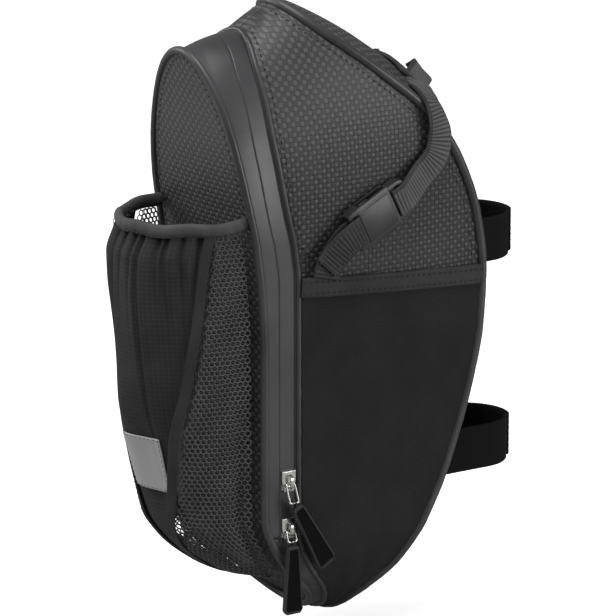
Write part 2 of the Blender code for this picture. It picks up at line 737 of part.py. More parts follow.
# Hook and loop straps round the seatpost: a fixed half and a flap that laps over it
def loop_path(radius, start_depth, side, last_angle, steps):
    """Forward from the bag and round the seatpost, seen from above."""
    out = [(side * radius, start_depth), (side * radius, (start_depth + POST_CENTRE_DEPTH) / 2)]
    for a in np.linspace(0.0, last_angle, steps):
        r = math.radians(a)
        out.append((side * radius * math.cos(r), POST_CENTRE_DEPTH + radius * math.sin(r)))
    return out


def hook_strap(name, radius, height, start, side, last_angle, pivot=(0.0, 0.0, 0.0)):
    path = [np.array([x, y, height]) for x, y in loop_path(radius, start, side, last_angle, 12)]
    return ribbon(name, path, [(0, 0, 1)] * len(path), HOOK_WIDE, HOOK_THICK, HOOK, pivot)


inner_r = POST_R + HOOK_THICK / 2
outer_r = inner_r + HOOK_THICK + GAP
for word, height in (("upper", HOOK_UPPER), ("lower", HOOK_LOWER)):
    faces_at = [front_point(inner_r - ROOT_FLARE, h)[1]
                for h in np.linspace(height - HOOK_WIDE / 2, height + HOOK_WIDE / 2, 7)]
    clear = max(faces_at) + ROOT_RISE
    for radius, side, kind in ((inner_r, RIGHT, "right"), (outer_r, LEFT, "left")):
        edges_at = (side * (radius + ROOT_FLARE), side * (radius - ROOT_FLARE))
        rows = [[front_point(x, h, 2 * GAP) for x in edges_at]
                for h in np.linspace(height - HOOK_WIDE / 2, height + HOOK_WIDE / 2, 7)]
        back = np.array(facing(rows, side))
        ends = back.copy()
        ends[:, :, 0] = side * radius + (back[:, :, 0] - side * radius) * ROOT_TAPER
        ends[:, :, 1] = clear - GAP
        skin(f"hook_strap_root_{word}_{kind}", ends, back, BINDING)
    hook_strap(f"hook_strap_{word}_base", inner_r, height, clear, RIGHT, LAP_ANGLE)
    hook_strap(f"hook_strap_{word}_flap", outer_r, height, clear, LEFT, LAP_ANGLE,
               (-outer_r - ROOT_FLARE * ROOT_TAPER, clear, height))

# Saddle rail straps with their side release buckles
TILT = math.radians(BUCKLE_TILT)
ALONG = np.array([0.0, math.cos(TILT), math.sin(TILT)])
ACROSS = np.array([0.0, -math.sin(TILT), math.cos(TILT)])
HALF_BUCKLE = (SOCKET_LONG + GAP + PLUG_BASE_LONG) / 2
SPLIT = SOCKET_LONG - HALF_BUCKLE
FACE = side_surface(*BUCKLE_MIDDLE)
BUCKLE_X = FACE + 0.6 + BUCKLE_THICK / 2
buckle_centre = np.array([BUCKLE_X, *BUCKLE_MIDDLE])
slant = np.array([0.0, -0.73, 0.68])
rising = np.array([0.0, 0.68, 0.73])
edge_depth = front_seam.depth(ARCH_EDGE)
edge_x = BODY_HALF_WIDTH + FRONT_PIPING_R + GAP + WEB_THICK / 2 + 0.5
root = front_point(ARCH_ROOT_X, ARCH_ROOT, GAP + ANCHOR_THICK + 3 * GAP)
root_up = outward(front_seam, ARCH_ROOT, 1.0)
root_wide = np.array([0.0, -root_up[2], root_up[1]])


def mirrored(points, side):
    return [np.array([side * p[0], p[1], p[2]]) for p in points]


for side, word in SIDES:
    axes = np.array([ALONG, ACROSS, (side, 0.0, 0.0)])
    centre = buckle_centre * (side, 1.0, 1.0)
    tail = buckle_centre - ALONG * (HALF_BUCKLE + 0.9)
    foot_at = np.array([side_surface(LOWER_FOOT_DEPTH, POCKET_TOP_REAR) + GAP + WEB_THICK,
                        LOWER_FOOT_DEPTH, POCKET_TOP_REAR - 1.0])
    lower = smooth_path([foot_at + (0.8, 0, 0), foot_at + (1.4, 4.0, 6.5), tail - ALONG * 6.0,
                         tail - ALONG * 2.0], 3)
    widths = smooth_path([(0.0, -0.79, 0.61), (0.0, -0.7, 0.71), (0.0, -0.5, 0.86), tuple(ACROSS)], 3)
    ribbon("rail_strap_lower_" + word, mirrored(lower + [tail], side), mirrored(widths + [ACROSS], side),
           WEB_WIDE, WEB_THICK, WEBBING)

    socket = block("buckle_socket_" + word, (-HALF_BUCKLE, -BUCKLE_WIDE / 2, -BUCKLE_THICK / 2),
                   (SPLIT, BUCKLE_WIDE / 2, BUCKLE_THICK / 2), PLASTIC, centre, axes)
    mouth, room, slack_web = SPLIT + 1.0, BUCKLE_THICK / 2 - BUCKLE_SKIN, WEB_WIDE / 2 + 0.5
    hollow, slot = BUCKLE_WIDE / 2 - BUCKLE_SIDE, room - CATCH_THICK
    cuts = (((SPLIT - HOLLOW_LONG, -hollow, -room), (mouth, hollow, room)),
            ((SPLIT - WINDOW_FAR, -BUCKLE_WIDE, -room), (SPLIT - WINDOW_NEAR, BUCKLE_WIDE, room)),
            ((SPLIT - WINDOW_FAR + 0.4, -BUCKLE_WIDE, -slot), (mouth, BUCKLE_WIDE, slot)),
            ((WEB_BAR - HALF_BUCKLE, -slack_web, -BUCKLE_THICK),
             (WEB_BAR + WEB_SLOT - HALF_BUCKLE, slack_web, BUCKLE_THICK)))
    for number, (low, high) in enumerate(cuts):
        cutter = block(f"socket_cut_{word}_{number}", low, high, PLASTIC, centre, axes)
        combine(socket, cutter, "DIFFERENCE")

    base_at = SPLIT + GAP
    plug_half, plug_thick = BUCKLE_WIDE / 2 - PLUG_INSET, BUCKLE_THICK / 2 - PLUG_INSET / 2
    plug = block("buckle_plug_" + word, (base_at, -plug_half, -plug_thick),
                 (base_at + PLUG_BASE_LONG, plug_half, plug_thick), PLASTIC, centre, axes)
    guide_bar = block("plug_guide_" + word, (SPLIT - GUIDE_LONG, -GUIDE_WIDE / 2, -PRONG_THICK / 2),
                      (base_at + 1.0, GUIDE_WIDE / 2, PRONG_THICK / 2), PLASTIC, centre, axes)
    combine(plug, guide_bar, "UNION")
    eye = block("plug_eye_" + word, (base_at + PLUG_BAR, -slack_web, -BUCKLE_THICK),
                (base_at + PLUG_BAR + PLUG_SLOT, slack_web, BUCKLE_THICK), PLASTIC, centre, axes)
    combine(plug, eye, "DIFFERENCE")
    for up, prong_word in ((1.0, "upper"), (-1.0, "lower")):
        pin = centre + ALONG * (SPLIT - 0.8) + ACROSS * up * PRONG_SPREAD
        turned = np.array([ALONG, ACROSS * up, (side, 0.0, 0.0)])
        arm = block(f"buckle_prong_{word}_{prong_word}", (-PRONG_LONG, -PRONG_WIDE / 2, -PRONG_THICK / 2),
                    (0.6, PRONG_WIDE / 2, PRONG_THICK / 2), PLASTIC, pin, turned)
        tab = block(f"prong_tab_{word}_{prong_word}", (-PRONG_LONG - 0.3, 0.4, -TAB_THICK / 2),
                    (TAB_LONG - PRONG_LONG - 0.3, BUCKLE_WIDE / 2 - PRONG_SPREAD - 0.2, TAB_THICK / 2),
                    PLASTIC, pin, turned)
        combine(arm, tab, "UNION")

    head = buckle_centre + ALONG * (HALF_BUCKLE + 0.9)
    edge = np.array([edge_x, edge_depth - 3.0, ARCH_EDGE - 3.0])
    slack = smooth_path([head + ALONG * 2.0, head + ALONG * 6.0, edge - rising * 12.0,
                         edge - rising * 3.0], 3)
    slack_wides = smooth_path([tuple(ACROSS), (0, -0.62, 0.78), tuple(slant), tuple(slant)], 3)
    ribbon("rail_strap_slack_" + word, mirrored([head] + slack + [edge], side),
           mirrored([ACROSS] + slack_wides + [slant], side), WEB_WIDE, WEB_THICK, WEBBING)
    arch = smooth_path([edge + rising * 3.0, edge + rising * 6.0, edge + (-1.6, 5.6, 12.5),
                        edge + (-6.0, 5.6, ARCH_RISE), edge + (-14.5, 4.6, ARCH_RISE + 5.5),
                        root + (6.5, 0.5, 2.0) + root_up * 7.0, root + (1.0, 0.0, 0.0) + root_up * 3.5,
                        root], 3)
    arch_wides = smooth_path([tuple(slant), tuple(slant), (0, -0.85, 0.5), (0, -0.95, 0.3),
                              (0, -0.95, 0.3), (0, -0.9, 0.4), tuple(root_wide), tuple(root_wide)], 3)
    ribbon("rail_strap_arch_" + word, mirrored([edge + rising * GAP] + arch, side),
           mirrored([slant] + arch_wides, side), WEB_WIDE, WEB_THICK, WEBBING)

anchor = [[front_point(x, h) for x in np.linspace(ANCHOR_WIDE / 2, -ANCHOR_WIDE / 2, 7)]
          for h in np.linspace(ARCH_ROOT - ANCHOR_TALL / 2, ARCH_ROOT + ANCHOR_TALL / 2, 5)]
shell("rail_anchor_patch", anchor, ANCHOR_THICK, BINDING, lift=GAP, inward=False)

# Zip sliders, their links and their rubber pulls, all on the right side
ZIP_DEPTH = RIDGE_DEPTH - ZIP_LINE
FRONT_FACE = BODY_HALF_WIDTH + GAP
BACK_FACE = BODY_HALF_WIDTH - TAPE_THICK - GAP - 2 * COIL_R - GAP
PIVOT_X = FRONT_FACE + SLIDER_PLATE + 1.0
lean_angle = math.radians(LINK_LEAN)
lean = np.array([math.sin(lean_angle), 0.0, -math.cos(lean_angle)])
for word, height, tilt in (("upper", UPPER_SLIDER, UPPER_GRIP_TILT), ("lower", LOWER_SLIDER, 0.0)):
    spot = np.array([0.0, ZIP_DEPTH, height])
    slider = block("slider_" + word, (FRONT_FACE, -SLIDER_WIDE / 2, -SLIDER_LONG / 2),
                   (FRONT_FACE + SLIDER_PLATE, SLIDER_WIDE / 2, SLIDER_LONG / 2), METAL, spot)
    parts = (("post", (BACK_FACE - 0.5, -SLIDER_POST_WIDE / 2, 1.0),
              (FRONT_FACE + 0.5, SLIDER_POST_WIDE / 2, SLIDER_LONG / 2 - 0.8)),
             ("back", (BACK_FACE - SLIDER_PLATE, -SLIDER_WIDE / 2, -SLIDER_LONG / 2),
              (BACK_FACE, SLIDER_WIDE / 2, SLIDER_LONG / 2)),
             ("bridge", (FRONT_FACE + 0.5, -BRIDGE_WIDE / 2, -BRIDGE_LONG / 2),
              (PIVOT_X + BRIDGE_TALL - 1.0, BRIDGE_WIDE / 2, BRIDGE_LONG / 2)))
    for kind, low, high in parts:
        combine(slider, block(f"slider_{kind}_{word}", low, high, METAL, spot), "UNION")
    eye = block(f"slider_eye_{word}", (FRONT_FACE + SLIDER_PLATE, -BRIDGE_WIDE, -EYE_LONG / 2),
                (PIVOT_X + 1.0, BRIDGE_WIDE, EYE_LONG / 2), METAL, spot)
    combine(slider, eye, "DIFFERENCE")

    pivot = spot + (PIVOT_X, 0.0, -1.2)
    end = pivot + lean * LINK_LONG
    wire = [pivot + (0, -LINK_WIDE / 2 + 0.5, 0), pivot + (0, LINK_WIDE / 2 - 0.5, 0),
            pivot + lean * 1.2 + (0, LINK_WIDE / 2, 0), end - lean * 1.0 + (0, LINK_WIDE / 2, 0),
            end + (0, LINK_WIDE / 2 - 0.6, 0), end + (0, -LINK_WIDE / 2 + 0.6, 0),
            end - lean * 1.0 - (0, LINK_WIDE / 2, 0), pivot + lean * 1.2 - (0, LINK_WIDE / 2, 0)]
    tube("pull_link_" + word, wire, LINK_WIRE, METAL, cyclic=True, sides=1, pivot=pivot)

    turn = math.radians(tilt)
    down = np.array([0.0, math.sin(turn), -math.cos(turn)])
    flat = np.array([0.0, math.cos(turn), math.sin(turn)])
    grip_outline = [(EYELET_R + 0.15, 0.8), (EYELET_R + 1.0, GRIP_TOP_WIDE / 2 - 0.6),
                    (EYELET_R + 2.8, GRIP_TOP_WIDE / 2), (GRIP_LONG - 2.0, GRIP_WIDE / 2),
                    (GRIP_LONG, GRIP_WIDE / 2 - 1.6)]
    rows = [[end + down * d + flat * w * k for k in (-1.0, -0.5, 0.0, 0.5, 1.0)]
            for d, w in grip_outline]
    grid = np.array(rows)[::-1]
    normal = np.array([1.0, 0.0, 0.0])
    grip = skin("pull_grip_" + word, grid + normal * GRIP_THICK / 2, grid - normal * GRIP_THICK / 2,
                RUBBER, end)
    ring = [end + EYELET_R * math.cos(a) * normal + EYELET_R * math.sin(a) * down
            for a in np.linspace(0, 2 * math.pi, 13)[:-1]]
    loop = tube("grip_loop_" + word, ring, EYELET_WIRE, RUBBER, cyclic=True, sides=1, pivot=end)
    bpy.context.view_layer.update()
    loop_mesh = bpy.data.meshes.new_from_object(loop.evaluated_get(bpy.context.evaluated_depsgraph_get()))
    bpy.data.objects.remove(loop, do_unlink=True)
    eyelet = place(bpy.data.objects.new("grip_eyelet_" + word, loop_mesh), RUBBER, end)
    combine(grip, eyelet, "UNION")
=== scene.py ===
"""Looks of a bike saddle bag with a bottle pocket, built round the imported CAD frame.

Sizes are millimetres of the sewing pattern, measured from the bag's bottom tip and the middle of its
rear face. on_frame turns them into the frame's metres.
"""

import math

import bpy
import numpy as np
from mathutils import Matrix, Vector


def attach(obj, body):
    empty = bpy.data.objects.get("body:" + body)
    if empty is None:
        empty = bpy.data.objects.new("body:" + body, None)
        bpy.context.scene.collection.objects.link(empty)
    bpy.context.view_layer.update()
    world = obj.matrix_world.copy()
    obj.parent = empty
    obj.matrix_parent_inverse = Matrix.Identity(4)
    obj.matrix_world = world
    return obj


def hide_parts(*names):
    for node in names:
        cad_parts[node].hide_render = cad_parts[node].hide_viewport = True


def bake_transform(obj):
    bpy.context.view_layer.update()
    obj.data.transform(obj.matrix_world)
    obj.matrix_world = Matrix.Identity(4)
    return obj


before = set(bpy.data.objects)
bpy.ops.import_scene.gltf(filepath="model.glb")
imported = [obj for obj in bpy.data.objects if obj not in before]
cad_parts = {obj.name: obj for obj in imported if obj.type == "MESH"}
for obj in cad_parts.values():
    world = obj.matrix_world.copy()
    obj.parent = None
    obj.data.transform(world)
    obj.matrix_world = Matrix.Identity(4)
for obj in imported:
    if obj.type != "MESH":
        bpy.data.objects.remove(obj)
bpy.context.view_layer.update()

# Side panels: foam backed leatherette with an embossed carbon weave, one piece each from the zip's ridge
# to the front face, turned in where the pipings are sewn on.
PAD_TO_BAG = np.array([0.0, 131.95, 141.0])
BODY_HEIGHT, BODY_HALF, BODY_DEPTH = 299.0, 40.0, 126.0
BOTTOM_ARCH, FRONT_ARCH, LID_ARCH = 46.0, 65.0, 92.0
RIDGE_DROP, LID_DROP, RIDGE_DEPTH = 11.5, 18.0, 19.1
POCKET_TOP_FRONT, POCKET_TOP_REAR = 0.559 * BODY_HEIGHT, 0.585 * BODY_HEIGHT
PANEL_THICK, PANEL_SWELL = 1.8, 2.4
PUCKER_REACH = 1 / 16
# From where to where along the cloth, in millimetres, the carbon skin flattens and takes a painted highlight.
CARBON_CELL, SMOOTH_SHEEN_FROM, SMOOTH_SHEEN_TO = 2.3, 205.0, 268.0
SIDES = ((1.0, "right"), (-1.0, "left"))


def on_frame(points):
    return (np.asarray(points, float) - PAD_TO_BAG) * 0.001


def unit(v):
    v = np.asarray(v, float)
    return v / np.maximum(np.linalg.norm(v, axis=-1, keepdims=True), 1e-12)


def points_of(piece):
    return np.array([v.co[:] for v in piece.data.vertices])


def alone(piece):
    """Select one piece and make it the active one."""
    bpy.ops.object.select_all(action="DESELECT")
    piece.select_set(True)
    bpy.context.view_layer.objects.active = piece


def fresh(add, name, **settings):
    """A new primitive, named, with nothing else selected."""
    bpy.ops.object.select_all(action="DESELECT")
    add(**settings)
    piece = bpy.context.object
    piece.name = piece.data.name = name
    return piece


def on_whole(piece, step, **settings):
    """Run one mesh operator on all of a piece."""
    alone(piece)
    bpy.ops.object.mode_set(mode="EDIT")
    bpy.ops.mesh.select_all(action="SELECT")
    step(**settings)
    bpy.ops.object.mode_set(mode="OBJECT")


def curve_through(outline, x):
    """Smooth curve through a few outline points, without overshoot."""
    xs, ys = np.array(outline, float).T
    rise = np.diff(ys) / np.diff(xs)
    both = rise[:-1] * rise[1:]
    total = np.where(both > 0, rise[:-1] + rise[1:], 1.0)
    slope = np.concatenate([rise[:1], np.where(both > 0, 2 * both / total, 0.0), rise[-1:]])
    x = np.clip(np.asarray(x, float), xs[0], xs[-1])
    i = np.clip(np.searchsorted(xs, x) - 1, 0, len(xs) - 2)
    h = xs[i + 1] - xs[i]
    s = (x - xs[i]) / h
    return ((1 + 2 * s) * (1 - s) ** 2 * ys[i] + s * (1 - s) ** 2 * h * slope[i]
            + s * s * (3 - 2 * s) * ys[i + 1] + s * s * (s - 1) * h * slope[i + 1])


class SeamLine:
    """A seam round the bag: station 0 is its lowest point, 1 the bottom arch's end, 2 the side pocket's
    top, 3 the foot of the upper arch and 4 its highest point."""

    def __init__(self, bottom, top, arch, pocket_top, outline, start=0.0):
        self.bottom, self.top, self.arch, self.pocket_top = bottom, top, arch, pocket_top
        self.outline = [(h * BODY_HEIGHT, start + d * BODY_DEPTH) for h, d in outline]

    def height(self, station):
        low, high = self.bottom + BOTTOM_ARCH, self.top - self.arch
        s = np.asarray(station, float)
        return np.select([s <= 1, s <= 2, s <= 3],
                         [low - BOTTOM_ARCH * np.cos(s * np.pi / 2), low + (self.pocket_top - low) * (s - 1),
                          self.pocket_top + (high - self.pocket_top) * (s - 2)],
                         high + self.arch * np.sin((s - 3) * np.pi / 2))

    def half(self, station):
        s = np.asarray(station, float)
        return BODY_HALF * np.select([s <= 1, s <= 3], [np.sin(s * np.pi / 2), 1.0],
                                     np.cos((s - 3) * np.pi / 2))

    def half_at(self, height):
        low, high = self.bottom + BOTTOM_ARCH, self.top - self.arch
        share = np.maximum(np.maximum((low - height) / BOTTOM_ARCH, (height - high) / self.arch), 0.0)
        return BODY_HALF * np.sqrt(np.maximum(1 - share ** 2, 0.0))

    def depth(self, height):
        return curve_through(self.outline, height)

    def point(self, station, side=1.0):
        height = self.height(station)
        return np.stack([side * self.half(station), self.depth(height), height], axis=-1)

    def tangent(self, station, side=1.0):
        s = np.asarray(station, float)
        return unit(self.point(np.minimum(s + 0.01, 4), side) - self.point(np.maximum(s - 0.01, 0), side))

    def station(self, height):
        tries = np.linspace(0, 4, 4001)
        return float(np.interp(height, self.height(tries), tries))

    def held_half(self, station, inset):
        """Half the width of a panel's row, held back square from the seam."""
        lean = np.sqrt(np.maximum(0.1, 1 - self.tangent(station)[..., 0] ** 2))
        return np.maximum(self.half(station) - inset / lean, 0.05)

    def length(self, station):
        """How far along the middle of a panel a station lies."""
        tries = np.linspace(0, 4, 801)
        height = self.height(tries)
        steps = np.hypot(np.diff(height), np.diff(self.depth(height)))
        return np.interp(station, tries, np.concatenate([[0.0], np.cumsum(steps)]))


front_seam = SeamLine(1.0, BODY_HEIGHT, FRONT_ARCH, POCKET_TOP_FRONT, [
    (0.003, 0.460), (0.027, 0.475), (0.053, 0.525), (0.085, 0.605), (0.117, 0.664), (0.148, 0.718),
    (0.178, 0.760), (0.209, 0.800), (0.270, 0.860), (0.365, 0.936), (0.465, 0.988), (0.555, 1.000),
    (0.642, 0.972), (0.728, 0.898), (0.814, 0.760), (0.898, 0.531), (0.967, 0.325), (1.000, 0.246)])
ridge_seam = SeamLine(2.0, BODY_HEIGHT - RIDGE_DROP, LID_ARCH, POCKET_TOP_REAR, [
    (0.007, 0.253), (0.054, 0.182), (0.110, 0.067), (0.150, 0.010), (0.168, 0.0), (0.575, 0.0),
    (0.639, -0.017), (0.689, -0.045), (0.749, -0.068), (0.839, -0.087), (0.906, -0.087),
    (0.949, -0.068), (0.962, -0.053)], RIDGE_DEPTH)
lid_seam = SeamLine(4.0, BODY_HEIGHT - LID_DROP, LID_ARCH, POCKET_TOP_REAR, [
    (0.013, 0.353), (0.060, 0.254), (0.110, 0.119), (0.161, 0.032), (0.201, 0.0), (0.468, 0.0),
    (0.552, -0.008), (0.639, -0.032), (0.722, -0.068), (0.783, -0.091), (0.866, -0.119),
    (0.940, -0.151)])


def laid_sheet(name, columns, rows, spot, lay=None, closed=False, inside=(0.0, 60.0, 150.0)):
    """A flat cut sheet, moved to where spot puts each point, faces out, its UV map in metres."""
    piece = fresh(bpy.ops.mesh.primitive_grid_add, name, x_subdivisions=columns, y_subdivisions=rows,
                  size=2.0)
    mesh = piece.data
    flat = points_of(piece)[:, :2]
    across, along = ((flat - flat.min(axis=0)) / np.ptp(flat, axis=0)).T
    points = spot(across, along)
    mesh.vertices.foreach_set("co", on_frame(points).ravel())
    spread = points[:, 1:] if lay is None else lay(across, along)
    corners = np.zeros(len(mesh.loops), int)
    mesh.loops.foreach_get("vertex_index", corners)
    mesh.uv_layers[0].data.foreach_set("uv", (spread[corners] * 0.001).ravel())
    mesh.update()
    centres, normals = np.zeros(len(mesh.polygons) * 3), np.zeros(len(mesh.polygons) * 3)
    mesh.polygons.foreach_get("center", centres)
    mesh.polygons.foreach_get("normal", normals)
    away = centres.reshape(-1, 3) - on_frame(inside)
    if closed:
        on_whole(piece, bpy.ops.mesh.remove_doubles, threshold=1e-6)
    if (away * normals.reshape(-1, 3)).sum() < 0:
        on_whole(piece, bpy.ops.mesh.flip_normals)
    bpy.ops.object.shade_smooth()
    return piece


def apply_step(piece, kind, **settings):
    """Add a modifier to a piece and apply it."""
    alone(piece)
    step = piece.modifiers.new(kind.lower(), kind)
    for key, value in settings.items():
        setattr(step, key, value)
    bpy.ops.object.modifier_apply(modifier=step.name)
    return piece


def thicken(piece, thick):
    """Give a sheet its thickness on the inner side, marked there with the attribute lining."""
    group = piece.vertex_groups.new(name="inner")
    apply_step(piece, "SOLIDIFY", thickness=thick * 0.001, offset=-1.0, use_quality_normals=True,
               shell_vertex_group=group.name)
    inner = [any(g.group == group.index and g.weight > 0.5 for g in v.groups) for v in piece.data.vertices]
    lining = piece.data.attributes.new("lining", "FLOAT", "POINT")
    lining.data.foreach_set("value", np.array(inner, np.float32))
    piece.vertex_groups.clear()
    return piece


def belongs(piece, finish, slot, body, *nodes, blend=None):
    """Finish a piece, hide the CAD nodes it stands for and parent it to its body; with a blend it is only
    baked.
    """
    piece.data.materials.clear()
    piece.data.materials.append(finish)
    if blend is None:
        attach(piece, body)
    else:
        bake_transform(piece)
    if nodes:
        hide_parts(*nodes)
    return piece


def between(seam_a, seam_b, station, side, hold_a, hold_b):
    """The two ends of a panel's rows, held back square from the two seams."""
    a, b = seam_a.point(station, side), seam_b.point(station, side)
    way = unit(b - a)
    lean_a = np.sqrt(np.maximum(0.1, 1 - (way * seam_a.tangent(station, side)).sum(-1) ** 2))
    lean_b = np.sqrt(np.maximum(0.1, 1 - (way * seam_b.tangent(station, side)).sum(-1) ** 2))
    return a + way * (hold_a / lean_a)[..., None], b - way * (hold_b / lean_b)[..., None]


def side_point(side, station, share, lift=0.0, hold=(1.0, 1.7), pucker=0.2):
    """A point on the side panel, share 0 at the ridge piping and 1 at the front piping."""
    start, end = between(ridge_seam, front_seam, station, side, *hold)
    chord = end - start
    width = np.linalg.norm(chord, axis=-1)
    up = ridge_seam.tangent(station, side) + front_seam.tangent(station, side)
    outward = unit(np.cross(chord, up)) * side
    rise = PANEL_SWELL * np.sin(np.pi * share) ** 0.8 * np.minimum(1.0, 1.2 * width / BODY_DEPTH)
    near_seam = np.exp(-share / PUCKER_REACH) + np.exp(-(1 - share) / PUCKER_REACH)
    drawn = pucker * (np.sin(station * 83.0) + 0.6 * np.sin(station * 47.0 + 1.0)) * near_seam
    return start + chord * share[..., None] + outward * (
        rise + lift + drawn * np.minimum(1.0, width / 40.0))[..., None]


class Wire:
    """One socket of a finish, so that its arithmetic reads as plain expressions."""

    def __init__(self, finish, socket):
        self.finish, self.socket = finish, socket

    def math(self, operation, *values):
        return self.finish.node("ShaderNodeMath", {"operation": operation}, *values)

    def __add__(self, other):
        return self.math("ADD", self, other)

    def __sub__(self, other):
        return self.math("SUBTRACT", self, other)

    def __rsub__(self, other):
        return self.math("SUBTRACT", other, self)

    def __mul__(self, other):
        return self.math("MULTIPLY", self, other)

    def __truediv__(self, other):
        return self.math("DIVIDE", self, other)

    def __pow__(self, other):
        return self.math("POWER", self, other)

    __radd__, __rmul__ = __add__, __mul__

    def fraction(self):
        return self.math("FRACT", self)

    def whole(self):
        return self.math("FLOOR", self)

    def wave(self, period, shift=0.0):
        """A sine of the given period, from -1 to 1."""
        return self.math("SINE", self * (2 * math.pi / period) + shift)

    def between(self, low, high):
        """Smoothly 0 below low and 1 above high."""
        return self.finish.node("ShaderNodeMapRange", {"interpolation_type": "SMOOTHSTEP"}, self, low, high,
                                0.0, 1.0)


class Finish:
    """A material in the making."""

    def __init__(self, name):
        self.material = bpy.data.materials.new(name)
        self.material.use_nodes = True
        self.tree = self.material.node_tree
        self.shader = self.tree.nodes["Principled BSDF"]

    def put(self, value, socket):
        """Link or set one socket."""
        if isinstance(value, Wire):
            self.tree.links.new(value.socket, socket)
        elif value is not None:
            socket.default_value = (*value, 1.0) if isinstance(value, tuple) and len(value) == 3 and (
                socket.type == "RGBA") else value

    def node(self, kind, settings, *values, out=0, **named):
        made = self.tree.nodes.new(kind)
        for key, value in settings.items():
            setattr(made, key, value)
        for socket, value in zip(made.inputs, values):
            self.put(value, socket)
        for key, value in named.items():
            self.put(value, made.inputs[key])
        return Wire(self, made.outputs[out])

    def cloth_place(self):
        """Across and along the cloth, in millimetres, from its UV map."""
        place = self.node("ShaderNodeUVMap", {})
        return [self.node("ShaderNodeSeparateXYZ", {}, place, out=axis) * 1000.0 for axis in (0, 1)]

    def noise(self, per_metre, detail=2.0):
        """Noise round 0.5 in the object's own space."""
        place = self.node("ShaderNodeTexCoord", {}, out=3)
        return self.node("ShaderNodeTexNoise", {}, place, None, per_metre, detail)

    def cells(self, per_metre):
        place = self.node("ShaderNodeTexCoord", {}, out=3)
        return self.node("ShaderNodeTexVoronoi", {}, place, None, per_metre)

    def attribute(self, name):
        return self.node("ShaderNodeAttribute", {"attribute_name": name}, out=2)

    def mix(self, share, low, high):
        """A colour between two colours."""
        made = self.tree.nodes.new("ShaderNodeMix")
        made.data_type = "RGBA"
        for value, socket in zip((share, low, high), (made.inputs[0], made.inputs[6], made.inputs[7])):
            self.put(value, socket)
        return Wire(self, made.outputs[2])

    def end(self, colour, roughness, height, depth, strength=1.0, **fixed):
        """Wire up the shader. depth is the relief in millimetres."""
        self.put(colour, self.shader.inputs["Base Color"])
        self.put(roughness, self.shader.inputs["Roughness"])
        for name, value in fixed.items():
            self.shader.inputs[name.replace("_", " ")].default_value = value
        bump = self.node("ShaderNodeBump", {}, strength, depth * 0.001, Height=height)
        self.put(bump, self.shader.inputs["Normal"])
        return self.material


def carbon_leatherette(name):
    """Embossed basket weave of small ribbed pillows over a satin skin, flatter under a painted highlight at
    the top.
    """
    make = Finish(name)
    across, along = make.cloth_place()
    a, b = across / CARBON_CELL, along / CARBON_CELL
    fa, fb = a.fraction(), b.fraction()
    turned = ((a.whole() + b.whole()) / 2.0).fraction() * 2.0
    pillow = (fa * (1.0 - fa) * 4.0) ** 0.5 * (fb * (1.0 - fb) * 4.0) ** 0.5
    ribs = across.wave(CARBON_CELL / 3) * turned + along.wave(CARBON_CELL / 3) * (1.0 - turned)
    grain, shade = make.noise(2600, 3.0), make.noise(16, 2.0).between(0.32, 0.68)
    lining = make.attribute("lining")
    # smooth flattens the weave and lowers roughness towards the top; in the skin colour it is a painted
    # highlight.
    smooth = along.between(SMOOTH_SHEEN_FROM, SMOOTH_SHEEN_TO) * 0.75
    weave = (pillow * (turned * 0.55 + 0.45) + ribs * 0.07) * (1.0 - smooth)
    relief = (weave + grain * 0.2) * (1.0 - lining) + grain * lining * 0.6
    skin = make.mix(pillow * (turned * 0.7 + 0.2) + shade * 0.2 + smooth * 0.35, (0.006, 0.006, 0.007),
                    (0.088, 0.088, 0.09))
    colour = make.mix(lining, skin, make.mix(grain, (0.014, 0.014, 0.015), (0.03, 0.03, 0.032)))
    roughness = 0.5 - pillow * 0.08 + shade * 0.08 + lining * 0.3 - smooth * 0.06
    return make.end(colour, roughness, relief, 0.5, 1.0, IOR=1.42)


carbon = carbon_leatherette("carbon_leatherette")
for side, word in SIDES:
    panel = laid_sheet("side_panel_skin_" + word, 44, 200,
                       lambda across, along: side_point(side, 0.002 + along * 3.99, across))
    thicken(panel, PANEL_THICK)
    belongs(panel, carbon, "carbon_leatherette", "body", "side_panel_" + word)

# Front panel: the face towards the seatpost and the slanted roof under the saddle, cut as one piece of the
# same leatherette. It is domed over the roof, because the bag is packed full under it.
FRONT_SWELL, ROOF_SWELL = 3.0, 15.5
ROOF_OUTLINE = [(0.0, 0.0), (0.652, 0.0), (0.753, 0.5), (0.836, 0.95), (1.0, 1.0)]


def outward_of(seam, height, forward):
    """Square to a seam's outline, in the bag's middle plane."""
    slope = seam.depth(height + 0.5) - seam.depth(height - 0.5)
    return unit(np.stack([np.zeros_like(slope), np.full_like(slope, forward), -forward * slope], axis=-1))


def front_point(x, height, lift=0.0):
    x, height = np.broadcast_arrays(np.asarray(x, float), np.asarray(height, float))
    half = np.maximum(front_seam.half_at(height), 1e-3)
    dome = FRONT_SWELL + (ROOF_SWELL - FRONT_SWELL) * curve_through(ROOF_OUTLINE, height / BODY_HEIGHT)
    swell = dome * np.maximum(0.0, 1 - (x / half) ** 2) * np.minimum(1.0, half / BODY_HALF)
    base = np.stack([x, front_seam.depth(height), height], axis=-1)
    return base + outward_of(front_seam, height, 1.0) * (swell + lift)[..., None]


def middle_panel(name, columns, rows, seam, point, span, hold, weave):
    """A skin across the bag between two stations of a seam, held back square from it. Its UV map counts
    only weave of each millimetre along it."""

    def row(across, along):
        station = span[0] + along * (span[1] - span[0])
        return seam.held_half(station, hold) * (1 - 2 * across), station

    def spot(across, along):
        x, station = row(across, along)
        return point(x, seam.height(station))

    def lay(across, along):
        x, station = row(across, along)
        return np.stack([x, seam.length(station) * weave], axis=-1)

    return thicken(laid_sheet(name, columns, rows, spot, lay), PANEL_THICK)


front = middle_panel("front_panel_skin", 40, 170, front_seam, front_point, span=(0.22, 3.94), hold=1.6,
                     weave=0.75)
belongs(front, carbon, "carbon_leatherette", "body", "front_panel")
